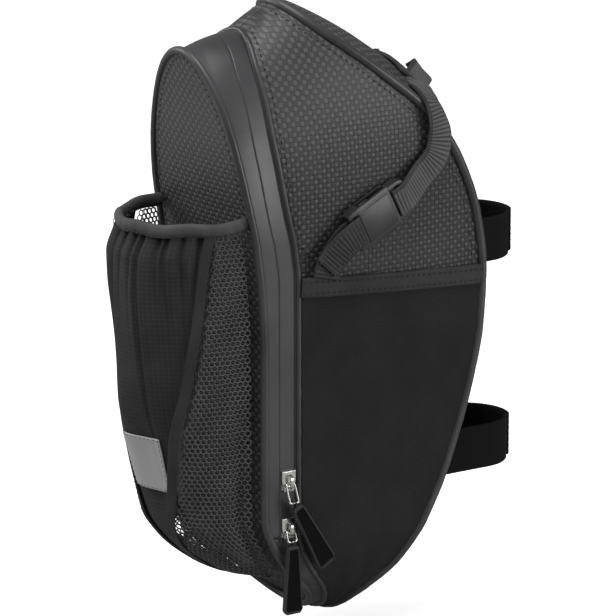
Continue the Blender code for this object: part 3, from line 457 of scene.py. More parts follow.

# Lid panel and bottom panel: one skin of the same leatherette down the bag's back, which would fold at the
# bottle pocket's foot when the lid is let down; here it is only baked in place.
FOLD_HEIGHT = 22.0
LID_SWELL, LID_FLAT, LID_RISE = 2.0, 10.0, 50.0
FOLD = np.array([0.0, 26.2, 20.46])


def lid_point(x, height, lift=0.0):
    x, height = np.broadcast_arrays(np.asarray(x, float), np.asarray(height, float))
    rise = np.clip((height - FOLD_HEIGHT - LID_FLAT) / LID_RISE, 0.0, 1.0)
    across = np.maximum(0.0, 1 - (x / BODY_HALF) ** 2)
    swell = LID_SWELL * rise * across * lid_seam.half_at(height) / BODY_HALF
    base = np.stack([x, lid_seam.depth(height), height], axis=-1)
    return base + outward_of(lid_seam, height, -1.0) * (swell + lift)[..., None]


back = middle_panel("lid_and_bottom_skin", 38, 190, lid_seam, lid_point, span=(0.3, 3.95), hold=1.3,
                    weave=0.98)
over_fold = ("lid", FOLD + (0, 3.5, -3.5), FOLD + (0, -2.5, 2.5))
belongs(back, carbon, "carbon_leatherette", "body", "rear_panel", "bottom_panel", blend=over_fold)


# Pipings: a plastic cord in smooth leatherette, sewn in along every seam, with a row of black stitches
# in the panel beside it. The rear one would turn with the lid above its fold; here it is only baked in place.
def evenly(line, spacing, *others):
    """Points spaced evenly along a line, the directions that go with them, and how far along each is."""
    line = np.asarray(line, float)
    gone = np.concatenate([[0.0], np.cumsum(np.linalg.norm(np.diff(line, axis=0), axis=1))])
    want = np.linspace(0, gone[-1], max(6, int(gone[-1] / spacing)))
    return [np.stack([np.interp(want, gone, np.broadcast_to(v, line.shape)[:, i]) for i in range(3)], axis=-1)
            for v in (line, *others)] + [want]


def swept(name, line, wide_way, section, around, spacing, closed=False):
    """A section swept along a line: section gives width and height offsets from its share and how far."""
    line, ways, gone = evenly(line, spacing, wide_way)
    tangent = np.gradient(line, axis=0)
    if closed:
        tangent[[0, -1]] = line[1] - line[-2]
    tangent = unit(tangent)
    ways = unit(ways - tangent * (ways * tangent).sum(-1, keepdims=True))
    outs = np.cross(tangent, ways)
    last = len(line) - 1

    def spot(across, along):
        i = np.rint(along * last).astype(int)
        wide, high = section(across % 1.0, gone[i])
        return line[i] + ways[i] * wide[:, None] + outs[i] * high[:, None]

    def lay(across, along):
        i = np.rint(along * last).astype(int)
        ring = np.stack(section(np.linspace(0, 1, 65) % 1.0, np.zeros(65)), axis=-1)
        turn = np.linalg.norm(np.diff(ring, axis=0), axis=1).sum()
        return np.stack([across * turn, gone[i]], axis=-1)

    piece = laid_sheet(name, around, last, spot, lay, closed=True)
    bpy.ops.object.mode_set(mode="EDIT")
    if not closed:
        bpy.ops.mesh.select_mode(type="EDGE")
        bpy.ops.mesh.select_all(action="DESELECT")
        bpy.ops.mesh.select_non_manifold(extend=False)
        bpy.ops.mesh.edge_face_add()
    bpy.ops.mesh.select_all(action="SELECT")
    bpy.ops.mesh.normals_make_consistent(inside=False)
    bpy.ops.object.mode_set(mode="OBJECT")
    bpy.ops.object.shade_smooth_by_angle(angle=math.radians(50))
    return piece


def round_section(radius, wobble=0.0, every=1.0):
    """A round cord, its radius rippling by wobble over each length of every."""

    def section(share, gone):
        r = radius * (1 + wobble * np.sin(gone * 2 * np.pi / every) * np.sin(gone * 0.37 + 1.0))
        return r * np.cos(2 * np.pi * share), r * np.sin(2 * np.pi * share)

    return section


def ring_of(seam):
    """A seam's line from its lowest point up the right side, over the top and down the left side."""
    rising = np.linspace(0, 4, 420)
    return np.concatenate([seam.point(rising, 1.0), seam.point(rising, -1.0)[::-1][1:]])


def leatherette(name, low, high, roughness, relief=0.07):
    """Plain polyurethane skin with a fine grain and a slightly uneven sheen."""
    make = Finish(name)
    grain, pores, shade = make.noise(1500, 4.0), make.noise(5200, 2.0), make.noise(26, 2.0).between(0.3, 0.7)
    colour = make.mix(shade * 0.65 + grain * 0.35, low, high)
    return make.end(colour, shade * 0.1 + grain * 0.1 + (roughness - 0.1), grain + pores * 0.5, relief, 0.6,
                    IOR=1.47)


FRONT_TO_BACK = (0.02, 1.0, 0.01)
piping_skin = leatherette("piping_leatherette", (0.03, 0.03, 0.032), (0.062, 0.062, 0.065), 0.36)
for name, seam, radius, node in (("front_piping_cord", front_seam, 2.3, "front_piping"),
                                 ("ridge_piping_cord", ridge_seam, 1.4, "side_piping"),
                                 ("rear_piping_cord", lid_seam, 1.9, ("rear_piping", "bottom_piping"))):
    cord = swept(name, ring_of(seam), FRONT_TO_BACK, round_section(radius, 0.025, 6.5), 16, 1.6, closed=True)
    if seam is lid_seam:
        belongs(cord, piping_skin, "piping_leatherette", "body", *node, blend=over_fold)
    else:
        belongs(cord, piping_skin, "piping_leatherette", "body", node)


def one_stitch(long, thick):
    """The points and faces of one stitch: a short thread that dips into the cloth at both ends."""
    stitch = fresh(bpy.ops.mesh.primitive_cylinder_add, "stitch", vertices=5, radius=thick / 2, depth=long,
                   end_fill_type="TRIFAN")
    on_whole(stitch, bpy.ops.mesh.subdivide, number_cuts=1)
    points = points_of(stitch)
    faces = [tuple(f.vertices) for f in stitch.data.polygons]
    bpy.data.objects.remove(stitch, do_unlink=True)
    points[:, :2] *= (1 - 0.55 * (2 * np.abs(points[:, 2:]) / long) ** 4)
    return points, faces


def stitches(name, line, outs, body, finish, slot, long, gap, thick, blend=None, sink=0.1):
    """A row of stitches along a line on the cloth: one stitch copied, all in one mesh."""
    line, outs = evenly(line, long + gap, outs)[:2]
    shape, faces = one_stitch(long, thick)
    tangent = unit(np.gradient(line, axis=0))
    outs = unit(outs - tangent * (outs * tangent).sum(-1, keepdims=True))
    aside = np.cross(tangent, outs)
    dip = shape[:, :1] - 1.2 * thick * (np.abs(shape[:, 2:]) / long) ** 2 - sink
    points = (line[:, None] + outs[:, None] * dip + aside[:, None] * shape[:, 1:2]
              + tangent[:, None] * shape[:, 2:])
    mesh = bpy.data.meshes.new(name)
    mesh.from_pydata(on_frame(points.reshape(-1, 3)).tolist(), [],
                     [tuple(k + i * len(shape) for k in f) for i in range(len(line)) for f in faces])
    mesh.shade_smooth()
    row = bpy.data.objects.new(name, mesh)
    bpy.context.collection.objects.link(row)
    return belongs(row, finish, slot, body, blend=blend)


def thread_finish(name, low, high):
    """Twisted polyester thread."""
    make = Finish(name)
    twist = make.noise(3800, 2.0)
    return make.end(make.mix(twist, low, high), twist * 0.2 + 0.5, twist, 0.05, 0.8)


black_thread = thread_finish("black_thread", (0.003, 0.003, 0.003), (0.012, 0.012, 0.013))
grey_thread = thread_finish("grey_thread", (0.03, 0.03, 0.032), (0.075, 0.075, 0.08))
BESIDE_RIDGE, BESIDE_FRONT, BESIDE_LID = 3.3, 4.455, 4.6
LONG_STITCH = {"long": 2.3, "gap": 1.0, "thick": 0.9, "sink": 0.0}
for side, word in SIDES:
    rise = np.linspace(0.1, 3.9, 500)
    rise = rise[rise > 2.03]
    width = np.maximum(np.linalg.norm(front_seam.point(rise) - ridge_seam.point(rise), axis=-1), 6.0)
    for kind, share in (("ridge", BESIDE_RIDGE / width), ("front", 1 - BESIDE_FRONT / width)):
        line = side_point(side, rise, share, pucker=0.0)
        stitches(f"{kind}_stitches_{word}", line, (side, 0, 0), "body", black_thread, "piping_leatherette",
                 **LONG_STITCH)
lid_rise = np.linspace(lid_seam.station(FOLD_HEIGHT + 4), 3.9, 400)
lid_half = lid_seam.held_half(lid_rise, BESIDE_LID)
for side, word in SIDES:
    line = lid_point(lid_half * side, lid_seam.height(lid_rise))
    stitches("lid_stitches_" + word, line, (0, -1.0, 0), "lid", black_thread, "piping_leatherette",
             **LONG_STITCH)

# Strip between lid and body: smooth leatherette gussets and the two coated zip tapes. The lid's tape is a
# storm flap over the body's, which dips under it. A seam across closes the zip's end, where the bottom gusset
# would spread as the lid is let down; its wings there are only baked in place.
ZIP_END, TAPE_START, FLAP_EDGE, ZIP_LINE, TAPE_END = 49.0, 0.9, 2.1, 6.6, 11.4
TAPE_THICK, BAND_WIDE, BAND_SWELL, TAPE_DIP = 0.9, 22.0, 0.7, 1.35
COIL_RADIUS, COIL_APART, COIL_UNDER = 0.8, 1.6, 1.1
ROOF_HEIGHT, STRIP_FLAT = 240.0, np.array([11.0, 620.0])
strip_skin = leatherette("smooth_leatherette", (0.036, 0.036, 0.038), (0.058, 0.058, 0.061), 0.36, 0.05)
zip_foot = ridge_seam.station(ZIP_END)


def mirrored_by(side):
    return np.stack([side, np.ones_like(side), np.ones_like(side)], axis=-1)


def strip_point(station, side, reach, lift):
    """On the strip: reach millimetres from the ridge seam towards the lid seam, or past it backwards."""
    ridge, lid = ridge_seam.point(station), lid_seam.point(station)
    way = unit(lid - ridge)
    wide = np.linalg.norm(lid - ridge, axis=-1)
    reach = np.where(reach < 0, wide + reach, reach)
    out = unit(np.cross(ridge_seam.tangent(station), way))
    over_roof = ridge_seam.height(station)[..., None] > ROOF_HEIGHT
    out *= np.sign(out[..., :1] + 1e-9 + over_roof * out[..., 2:])
    return (ridge + way * reach[..., None] + out * lift[..., None]) * mirrored_by(side)


def strip_spot(near, far, lift):
    def spot(across, along):
        over = 2 * along
        side = np.where(over <= 1, 1.0, -1.0)
        station = zip_foot + (4.0 - zip_foot) * np.where(over <= 1, over, 2 - over)
        wide = np.linalg.norm(lid_seam.point(station) - ridge_seam.point(station), axis=-1)
        end = wide + far if far < 0 else far
        reach = near + (end - near) * across
        return strip_point(station, side, reach, lift(reach))

    return spot


def under_flap(reach):
    """The body's tape dips to lie under the flap."""
    return -TAPE_DIP * np.clip((reach - FLAP_EDGE + 0.5) / 0.8, 0, 1)


def on_top(reach):
    """The flap and the lid's gusset swell as one band."""
    return BAND_SWELL * np.sin(np.pi * np.clip((reach - FLAP_EDGE) / BAND_WIDE, 0, 1)) ** 0.8


def strip_lay(across, along):
    return np.stack([across, along], axis=-1) * STRIP_FLAT


for name, near, far, lift, thick, body, node in (
        ("zip_tape_body_cloth", TAPE_START, ZIP_LINE - 0.2, under_flap, 0.4, "body", "zip_tape_body"),
        ("zip_tape_lid_cloth", FLAP_EDGE + 0.15, TAPE_END, on_top, TAPE_THICK, "lid", "zip_tape_lid"),
        ("lid_gusset_cloth", TAPE_END - 0.02, -1.3, on_top, TAPE_THICK, "lid", "lid_gusset")):
    tape = thicken(laid_sheet(name, 12, 440, strip_spot(near, far, lift), strip_lay), thick)
    belongs(tape, strip_skin, "smooth_leatherette", body, node)
coil_plastic = leatherette("zip_coil_plastic", (0.008, 0.008, 0.008), (0.03, 0.03, 0.03), 0.45)
coil_rise = np.linspace(zip_foot, 4.0, 400)
for body, reach in (("body", ZIP_LINE - COIL_APART), ("lid", ZIP_LINE + COIL_APART)):
    half_line = strip_point(coil_rise, np.ones(400), np.full(400, reach),
                            np.full(400, -TAPE_THICK - COIL_UNDER))
    line = np.concatenate([half_line, (half_line * (-1, 1, 1))[::-1][1:]])
    coil = swept(f"zip_coil_{body}_turns", line, FRONT_TO_BACK, round_section(COIL_RADIUS, 0.3, 1.6), 6, 0.4)
    belongs(coil, coil_plastic, "zip_coil", body, "zip_coil_" + body)


def gusset_spot(first, last, sides):
    """The bottom gusset between the two seams, from station first to last on one or on both sides."""

    def spot(across, along):
        over = 2 * along - 1 if sides == 0 else along
        side = np.where(over >= 0, 1.0, -1.0) if sides == 0 else np.full_like(along, sides)
        station = first + (last - first) * np.abs(over)
        start, end = between(lid_seam, ridge_seam, station, 1.0, 1.4, 1.0)
        return (start + (end - start) * across[:, None]) * mirrored_by(side)

    return spot


GUSSET_THICK = 1.8
fold_station = lid_seam.station(FOLD_HEIGHT)
lower = laid_sheet("bottom_gusset_cloth", 10, 60, gusset_spot(0.0, fold_station, 0), strip_lay)
thicken(lower, GUSSET_THICK)
belongs(lower, strip_skin, "smooth_leatherette", "body", "bottom_gusset")
at_zip_end = ("lid", np.array([0.0, 18.0, 44.85]), np.array([0.0, 13.9, 42.8]))
for side, word in SIDES:
    wing = laid_sheet("zip_end_gusset_" + word, 24, 24, gusset_spot(fold_station, zip_foot, side), strip_lay)
    belongs(thicken(wing, GUSSET_THICK), strip_skin, "smooth_leatherette", "body", "bottom_gusset",
            blend=at_zip_end)
    across = np.linspace(0, 1, 30)
    start, end = between(lid_seam, ridge_seam, np.full(30, zip_foot - 0.012), side, 2.0, 2.0)
    seam = start + (end - start) * across[:, None] + (side * 0.15, 0, 0)
    stitches("zip_end_stitches_" + word, seam, (side, 0, 0), "body", black_thread, "smooth_leatherette",
             1.4, 0.6, 0.5, blend=at_zip_end)

# Side pockets: flat ripstop pockets sewn on each side panel, their top edge bound in folded tape with two
# rows of stitches. The thin cloth hangs in faint folds.
POCKET_LIFT, POCKET_THICK = 1.15, 0.8
BINDING_TALL, BINDING_THICK, BINDING_LIFT, STITCH_LIFT = 9.0, 1.7, 1.75, 2.8


def ripstop(name, grid, low, high, depth):
    """Plain weave with a thicker yarn every few threads, which stands up as a fine grid."""
    make = Finish(name)
    across, along = make.cloth_place()
    lines = [1.0 - (v / grid).fraction() * (1.0 - (v / grid).fraction()) * 4.0 for v in (across, along)]
    ribs = lines[0] ** 5.0 + lines[1] ** 5.0
    weave = across.wave(0.42) * along.wave(0.42)
    fuzz, shade = make.noise(1900, 3.0), make.noise(34, 3.0).between(0.3, 0.7)
    colour = make.mix(ribs * 0.45 + weave * 0.12 + shade * 0.25 + fuzz * 0.2, low, high)
    return make.end(colour, fuzz * 0.2 + 0.62, ribs * 0.6 + weave * 0.35 + fuzz * 0.25, depth, 0.8,
                    Specular_IOR_Level=0.3)


def tape_weave(name, low, high):
    """Narrow polyester tape with a diagonal twill."""
    make = Finish(name)
    across, along = make.cloth_place()
    twill = (across + along).wave(0.8) + (across - along).wave(0.8) * 0.4
    fuzz, shade = make.noise(2100, 3.0), make.noise(40, 2.0).between(0.3, 0.7)
    colour = make.mix(twill * 0.14 + fuzz * 0.35 + shade * 0.35, low, high)
    return make.end(colour, fuzz * 0.2 + 0.6, twill * 0.3 + fuzz * 0.4, 0.12, 0.8, Specular_IOR_Level=0.35)


def flat_section(wide, thick, rib=0.0, pitch=1.6):
    """A flat strap with round edges, whose weft ribs stand up by rib at every pitch."""

    def section(share, gone):
        straight = wide - thick
        length = 2 * straight + math.pi * thick
        s = share * length
        turn = straight + math.pi * thick / 2
        half, t = np.where(s < turn, 1.0, -1.0), np.where(s < turn, s, s - turn)
        angle = np.clip((t - straight) / thick * 2, 0.0, math.pi)
        x = np.where(t < straight, straight / 2 - t, -straight / 2 - thick / 2 * np.sin(angle))
        high = np.where(t < straight, thick / 2, thick / 2 * np.cos(angle))
        ridged = rib * (np.abs(np.sin(gone * np.pi / pitch)) - 0.5) * (1 - (2 * np.abs(x) / wide) ** 6)
        return half * x, half * (high + np.sign(high) * np.maximum(ridged, -rib) * (t < straight))

    return section


ripstop_cloth = ripstop("ripstop_cloth", 1.6, (0.006, 0.006, 0.007), (0.03, 0.03, 0.031), 0.22)
binding_tape = tape_weave("binding_tape", (0.014, 0.014, 0.015), (0.055, 0.055, 0.057))
binding_share = BINDING_TALL / (POCKET_TOP_REAR - BOTTOM_ARCH - ridge_seam.bottom)
for side, word in SIDES:
    def pocket_spot(across, along):
        station = 0.1 + along * (2.0 - binding_share * 0.4 - 0.1)
        folds = 0.35 * np.sin(across * 17 + along * 3) * np.sin(np.pi * across) * (0.3 + along)
        return side_point(side, station, across, POCKET_LIFT + folds, (0.7, 1.2), 0.15)

    cloth = thicken(laid_sheet("side_pocket_cloth_" + word, 60, 110, pocket_spot), POCKET_THICK)
    belongs(cloth, ripstop_cloth, "ripstop_cloth", "body", "side_pocket_" + word)
    shares = np.linspace(0, 1, 60)
    middle = 2.0 - binding_share / 2
    low_edge, high_edge, line = [side_point(side, np.full(60, s), shares, BINDING_LIFT, (0.5, 1.2), 0.0)
                                 for s in (middle - binding_share / 2, middle + binding_share / 2, middle)]
    tape = swept("pocket_binding_tape_" + word, line, high_edge - low_edge,
                 flat_section(BINDING_TALL + 0.6, BINDING_THICK), 40, 1.6)
    belongs(tape, binding_tape, "binding_tape", "body", "side_pocket_binding_" + word)
    for row, drop in (("upper", 0.2), ("lower", 0.8)):
        station = np.full(60, 2.0 - binding_share * drop)
        line = side_point(side, station, shares, STITCH_LIFT, (2.0, 2.4), 0.0)
        stitches(f"pocket_binding_{row}_stitches_{word}", line, (side, 0, 0), "body", black_thread,
                 "binding_tape", 2.1, 1.0, 0.95, sink=0.0)

# Bottle pocket: a ripstop panel, gathered under an elastic rim, two gussets of knitted hexagon net in two
# layers, bound seams between them and a plain reflective patch. It is sewn on the lid.
BOTTLE_RIM, BOTTLE_FOOT, BOTTLE_REACH, BOTTLE_EDGE = 205.0, 24.5, 53.0, 4.2
RIM_TALL, NET_END, HEM_WIDE = 6.4, 88.5, 5.4
NET_CELL, YARN, NET_LAYER = 2.6, 0.8, (1.1, 0.6, 1.8)
LID_SKIN, CLOTH_TOP, CLOTH_DEGREE, CLOTH_TALL = 1.35, 201.0, 0.75, 205.0
GATHER_WIDE, GATHER_DEEP, SOFT_DEEP = 2.0, 3.5, 1.5
PLEAT_DEEP, PLEAT_PLACE, PLEAT_WIDE, HOLLOW_DEEP = 3.2, 7.5, 2.6, 0.9
POCKET_INSIDE = np.array([0.0, -10.0, 110.0])
BOTTLE_OUTLINE = [(0.0, 0.18), (0.025, 0.38), (0.07, 0.49), (0.13, 0.58), (0.247, 0.69), (0.357, 0.79),
                  (0.53, 0.93), (0.80, 0.985), (0.90, 0.935), (0.96, 0.82), (1.0, 0.74)]
PANEL_OUTLINE = [(0.0, 8.0), (0.1, 10.0), (0.2, 20.0), (0.307, 29.0), (0.424, 37.0), (0.54, 47.0),
                 (0.618, 51.0), (0.74, 57.0), (1.0, 66.0)]
GATHERS = [(-56, 26), (-43, 48), (-31, 14), (-14, 30), (-3, 13), (9, 20), (16, 58), (30, 15), (36, 22),
           (47, 40), (58, 18)]


def bottle_point(angle, height, lift=0.0):
    """A point on the bottle pocket, angle in degrees from its middle line."""
    angle, height = np.broadcast_arrays(np.asarray(angle, float), np.asarray(height, float))
    share = (height - BOTTLE_FOOT) / (BOTTLE_RIM - BOTTLE_FOOT)
    reach = BOTTLE_REACH * curve_through(BOTTLE_OUTLINE, share) + lift
    half = lid_seam.half_at(height) - BOTTLE_EDGE + lift
    turn = np.radians(angle)
    depth = lid_seam.depth(height) - LID_SKIN - reach * np.cos(turn)
    return np.stack([half * np.sin(turn), depth, height], axis=-1)


def panel_edge(height):
    return curve_through(PANEL_OUTLINE, (height - BOTTLE_FOOT) / (BOTTLE_RIM - BOTTLE_FOOT))


def gathers(angle, height):
    """Creases that run down from the drawn-in rim, and a few soft ones lower down."""
    down = BOTTLE_RIM - 5.0 - height
    fold = sum(-np.exp(-((angle - at - down * 0.04 * np.sign(at)) / GATHER_WIDE) ** 2
                       - np.maximum(down, 0) / long) for at, long in GATHERS)
    soft = np.sin(angle * 0.17 + height * 0.03) * 0.5 + np.sin(angle * 0.09 - height * 0.055 + 2.0) * 0.6
    puff = 0.5 * np.exp(-((down - 9) / 8.0) ** 2)
    return fold * GATHER_DEEP + soft * SOFT_DEEP * np.clip((height - 30) / 40, 0.0, 1.0) + puff


def bottle_spot(across, along):
    height = BOTTLE_FOOT + along * (CLOTH_TOP - BOTTLE_FOOT)
    angle = panel_edge(height) * (2 * across - 1)
    return bottle_point(angle, height, 0.1 + gathers(angle, height) * np.sin(np.pi * across) ** 0.3)


def bottle_lay(across, along):
    height = BOTTLE_FOOT + along * (CLOTH_TOP - BOTTLE_FOOT)
    return np.stack([panel_edge(height) * (2 * across - 1) * CLOTH_DEGREE, along * CLOTH_TALL], axis=-1)


pocket_cloth = ripstop("pocket_cloth", 2.5, (0.012, 0.012, 0.013), (0.06, 0.06, 0.062), 0.3)
bottle_front = thicken(laid_sheet("bottle_pocket_cloth", 130, 150, bottle_spot, bottle_lay,
                                  inside=POCKET_INSIDE), 0.9)
belongs(bottle_front, pocket_cloth, "pocket_cloth", "lid", "bottle_pocket_front")

make = Finish("net_yarn")
twist, shade = make.noise(2600, 3.0), make.noise(60, 2.0)
net_yarn = make.end(make.mix(twist * 0.6 + shade * 0.4, (0.032, 0.032, 0.034), (0.13, 0.13, 0.135)),
                    twist * 0.2 + 0.5, twist, 0.08, 0.7, Sheen_Weight=0.1)


def net_place(u, height, side, inset):
    """Where the net's flat cut goes: u millimetres from its edge beside the lid, in along the pocket."""
    tries = np.linspace(NET_END, 0, 121)
    places = bottle_point(tries[:, None], np.linspace(BOTTLE_FOOT, BOTTLE_RIM, 61)[None, :])
    steps = np.linalg.norm(np.diff(places, axis=0), axis=-1)
    gone = np.concatenate([np.zeros((1, 61)), np.cumsum(steps, axis=0)])
    row = (height - BOTTLE_FOOT) / (BOTTLE_RIM - BOTTLE_FOOT) * 60
    low = np.clip(row.astype(int), 0, 59)
    angle = np.array([(1 - f) * np.interp(x, gone[:, i], tries) + f * np.interp(x, gone[:, i + 1], tries)
                      for x, i, f in zip(u, low, row - low)])
    pleat = PLEAT_DEEP * np.exp(-((u - PLEAT_PLACE) / PLEAT_WIDE) ** 2) * np.clip((125 - height) / 55, 0, 1)
    hollow = HOLLOW_DEEP * np.sin(np.clip(u / 26, 0, 1) * np.pi) - 0.35 * np.sin(height * 0.21 + u * 0.3)
    return bottle_point(angle, height, 0.2 - pleat - hollow - inset) * (side, 1, 1), angle


def knitted_net(name, side):
    """Hexagon cells from one six sided ring, repeated in two layers, laid on the pocket and made yarn."""
    radius = NET_CELL / math.sqrt(3)
    net = fresh(bpy.ops.mesh.primitive_circle_add, name, vertices=6, radius=radius, fill_type="NGON")
    bpy.ops.object.mode_set(mode="EDIT")
    bpy.ops.mesh.select_all(action="SELECT")
    bpy.ops.mesh.duplicate()
    bpy.ops.transform.translate(value=(NET_CELL / 2, 1.5 * radius, 0))
    bpy.ops.mesh.select_all(action="SELECT")
    bpy.ops.mesh.remove_doubles(threshold=0.01)
    bpy.ops.object.mode_set(mode="OBJECT")
    for count, step in ((31, (NET_CELL, 0, 0)), (43, (0, 3 * radius, 0)), (2, NET_LAYER)):
        apply_step(net, "ARRAY", count=count, use_relative_offset=False, use_constant_offset=True,
                   constant_offset_displace=step, use_merge_vertices=True, merge_threshold=0.02)
    mesh, flat = net.data, points_of(net)
    flat[:, 1] = flat[:, 1] * 0.98 + BOTTLE_FOOT + 1.0
    height = np.clip(flat[:, 1], BOTTLE_FOOT, BOTTLE_RIM)
    on_cloth, angle = net_place(np.maximum(flat[:, 0], 0.0), height, side, flat[:, 2])
    keep = (angle > panel_edge(flat[:, 1]) + 0.4) & (flat[:, 1] < BOTTLE_RIM - 3) & (flat[:, 0] > -0.1)
    mesh.vertices.foreach_set("co", on_frame(on_cloth).ravel())
    for v, kept in zip(mesh.vertices, keep):
        v.select = not kept
    for part in (*mesh.polygons, *mesh.edges):
        part.select = not all(keep[list(part.vertices)])
    bpy.ops.object.mode_set(mode="EDIT")
    bpy.ops.mesh.select_mode(type="VERT")
    bpy.ops.mesh.delete(type="VERT")
    bpy.ops.mesh.select_all(action="SELECT")
    bpy.ops.mesh.normals_make_consistent(inside=False)
    bpy.ops.object.mode_set(mode="OBJECT")
    apply_step(net, "WIREFRAME", thickness=YARN * 0.001, use_even_offset=False, use_replace=True,
               use_boundary=True)
    mesh.shade_smooth()
    return net


for side, word in SIDES:
    net = knitted_net("bottle_pocket_net_yarn_" + word, side)
    belongs(net, net_yarn, "net_cloth", "lid", "bottle_pocket_net_" + word)
    rise = np.linspace(BOTTLE_FOOT + 1, CLOTH_TOP, 160)
    edge = bottle_point(panel_edge(rise) - 1.0, rise, 0.9) * (side, 1, 1)
    ahead = bottle_point(panel_edge(rise) + 4.0, rise, 0.9) * (side, 1, 1)
    hem = swept("bottle_pocket_hem_tape_" + word, edge, ahead - edge, flat_section(HEM_WIDE, 1.2), 30, 1.6)
    belongs(hem, binding_tape, "binding_tape", "lid", "bottle_pocket_hem_" + word)
    for row, turn in (("inner", -4.2), ("outer", 2.0)):
        line = bottle_point(panel_edge(rise) + turn, rise, 1.55) * (side, 1, 1)
        stitches(f"hem_{row}_stitches_{word}", line, line - POCKET_INSIDE, "lid", black_thread,
                 "binding_tape", 1.8, 0.8, 0.45)
turn = np.linspace(-NET_END - 0.5, NET_END + 0.5, 200)
rim_line = bottle_point(turn, BOTTLE_RIM - RIM_TALL / 2, 0.1)
rim_line[:, 2] += 0.5 * np.sin(np.radians(turn) * 9) + 1.2 * np.abs(turn / 90) ** 4
bottle_axis = np.stack([np.zeros(200), np.full(200, -14.0), rim_line[:, 2]], axis=-1)


def rim_section(share, gone):
    """A soft, slightly boxy roll whose thickness ripples a little along its length."""
    tall, thick = RIM_TALL / 2, 2.2 + 0.14 * np.sin(gone * 1.1) + 0.1 * np.sin(gone * 0.53)
    a = 2 * np.pi * share
    return tall * np.cos(a), thick * np.sign(np.sin(a)) * np.abs(np.sin(a)) ** 0.8


rim = swept("bottle_pocket_rim_binding", rim_line, (0, 0, 1.0), rim_section, 24, 0.9)
rim_tape = tape_weave("rim_tape", (0.03, 0.03, 0.031), (0.125, 0.125, 0.13))
belongs(rim, rim_tape, "binding_tape", "lid", "bottle_pocket_rim")
line = bottle_point(turn, BOTTLE_RIM - RIM_TALL + 0.9, 2.15)
line[:, 2] += rim_line[:, 2] - BOTTLE_RIM + RIM_TALL / 2
stitches("rim_stitches", line, line - bottle_axis, "lid", black_thread, "binding_tape", 2.0, 0.8, 0.6,
         sink=0.0)

make = Finish("reflective_tape")
beads, shade = make.cells(2400), make.noise(40, 2.0)
reflective = make.end(make.mix(beads * 0.5 + shade * 0.5, (0.3, 0.3, 0.31), (0.44, 0.44, 0.45)),
                      shade * 0.15 + 0.32, beads, 0.05, 0.5, Specular_IOR_Level=0.7)
PATCH_MIDDLE, PATCH_TALL, PATCH_SPREAD, PATCH_TURN = 87.5, 27.0, 19.5, 5.0


def patch_spot(across, along):
    height = PATCH_MIDDLE + (along - 0.5) * PATCH_TALL
    angle = PATCH_TURN + PATCH_SPREAD * (2 * across - 1)
    return bottle_point(angle, height, 1.35 + 0.8 * gathers(angle, height))


patch = thicken(laid_sheet("reflective_patch_tape", 24, 30, patch_spot, inside=POCKET_INSIDE), 0.5)
belongs(patch, reflective, "reflective_tape", "lid", "reflective_patch")
border = np.linspace(-0.92, 0.92, 40)
for edge, wide, tall in (("left", -0.93, border), ("right", 0.93, border), ("foot", border, -0.94),
                         ("top", border, 0.94)):
    a = PATCH_TURN + PATCH_SPREAD * np.broadcast_to(wide, 40)
    h = PATCH_MIDDLE + PATCH_TALL / 2 * np.broadcast_to(tall, 40)
    line = bottle_point(a, h, 1.45 + 0.8 * gathers(a, h))
    stitches(f"patch_{edge}_stitches", line, line - (0, -10, 87), "lid", grey_thread, "reflective_tape",
             1.6, 0.7, 0.4)

# Boards: stiff foam boards stand inside the front and the lid and keep the bag's shape.
make = Finish("foam_board")
bubbles, shade = make.cells(900), make.noise(40, 2.0)
board_foam = make.end(make.mix(bubbles * 0.6 + shade * 0.4, (0.02, 0.02, 0.021), (0.05, 0.05, 0.052)),
                      shade * 0.1 + 0.75, bubbles, 0.3, 0.7)
for node in ("front_board", "rear_board"):
    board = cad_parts[node]
    board.data.materials.clear()
    board.data.materials.append(board_foam)

# Seatpost pad: a moulded rubber block with grip grooves, glued to the front face where it meets the post.
rubber = leatherette("pull_rubber", (0.004, 0.004, 0.004), (0.014, 0.014, 0.014), 0.55, 0.05)
PAD_WIDE, PAD_TALL, PAD_ROUND, GROOVE_PITCH = 34.0, 36.0, 1.2, 4.5
PAD_FACE, PAD_HEIGHT = PAD_TO_BAG[1:]


def pad_spot(across, along):
    x, h = (0.5 - across) * PAD_WIDE, PAD_HEIGHT + (along - 0.5) * PAD_TALL
    edge = np.minimum(np.minimum(across, 1 - across) * PAD_WIDE, np.minimum(along, 1 - along) * PAD_TALL)
    groove = 0.7 * (np.abs(np.sin((h - PAD_HEIGHT) * np.pi / GROOVE_PITCH)) < 0.33) * (edge > 2.5)
    rounded = PAD_ROUND * np.clip(1 - edge / PAD_ROUND, 0, 1) ** 2
    return np.stack([x, PAD_FACE - groove - rounded, h], axis=-1)


pad = laid_sheet("seatpost_pad_rubber", 40, 108, pad_spot)
apply_step(pad, "SOLIDIFY", thickness=0.0034, offset=-1.0)
belongs(pad, rubber, "pull_rubber", "body", "seatpost_pad")

# Seatpost straps: hook and loop tape, sewn into bound roots on the front face. A fixed half goes round the
# post from the right and a flap laps over it from the left.
POST_RADIUS, POST_CENTRE, HOOK_WIDE, HOOK_THICK = 19.5, 145.5, 22.0, 1.6
ROOT_FLARE, LAP_ANGLE = 3.8, 112.0
make = Finish("hook_and_loop")
across, along = make.cloth_place()
fluff, loops, shade = make.noise(2600, 5.0), make.cells(1300), make.noise(70, 2.0)
inner_side = across.between(HOOK_WIDE, HOOK_WIDE + 0.6)
border = ((across - HOOK_WIDE / 2) * (across - HOOK_WIDE / 2)).between(76.0, 84.0)
hook_loop = make.end(make.mix(fluff * 0.4 + shade * 0.2 + inner_side * 0.4, (0.002, 0.002, 0.002),
                              (0.014, 0.014, 0.0145)),
                     fluff * 0.2 + 0.75, (fluff + loops * 0.5) * (1.0 - border * 0.6), 0.4, 0.9,
                     Specular_IOR_Level=0.08)


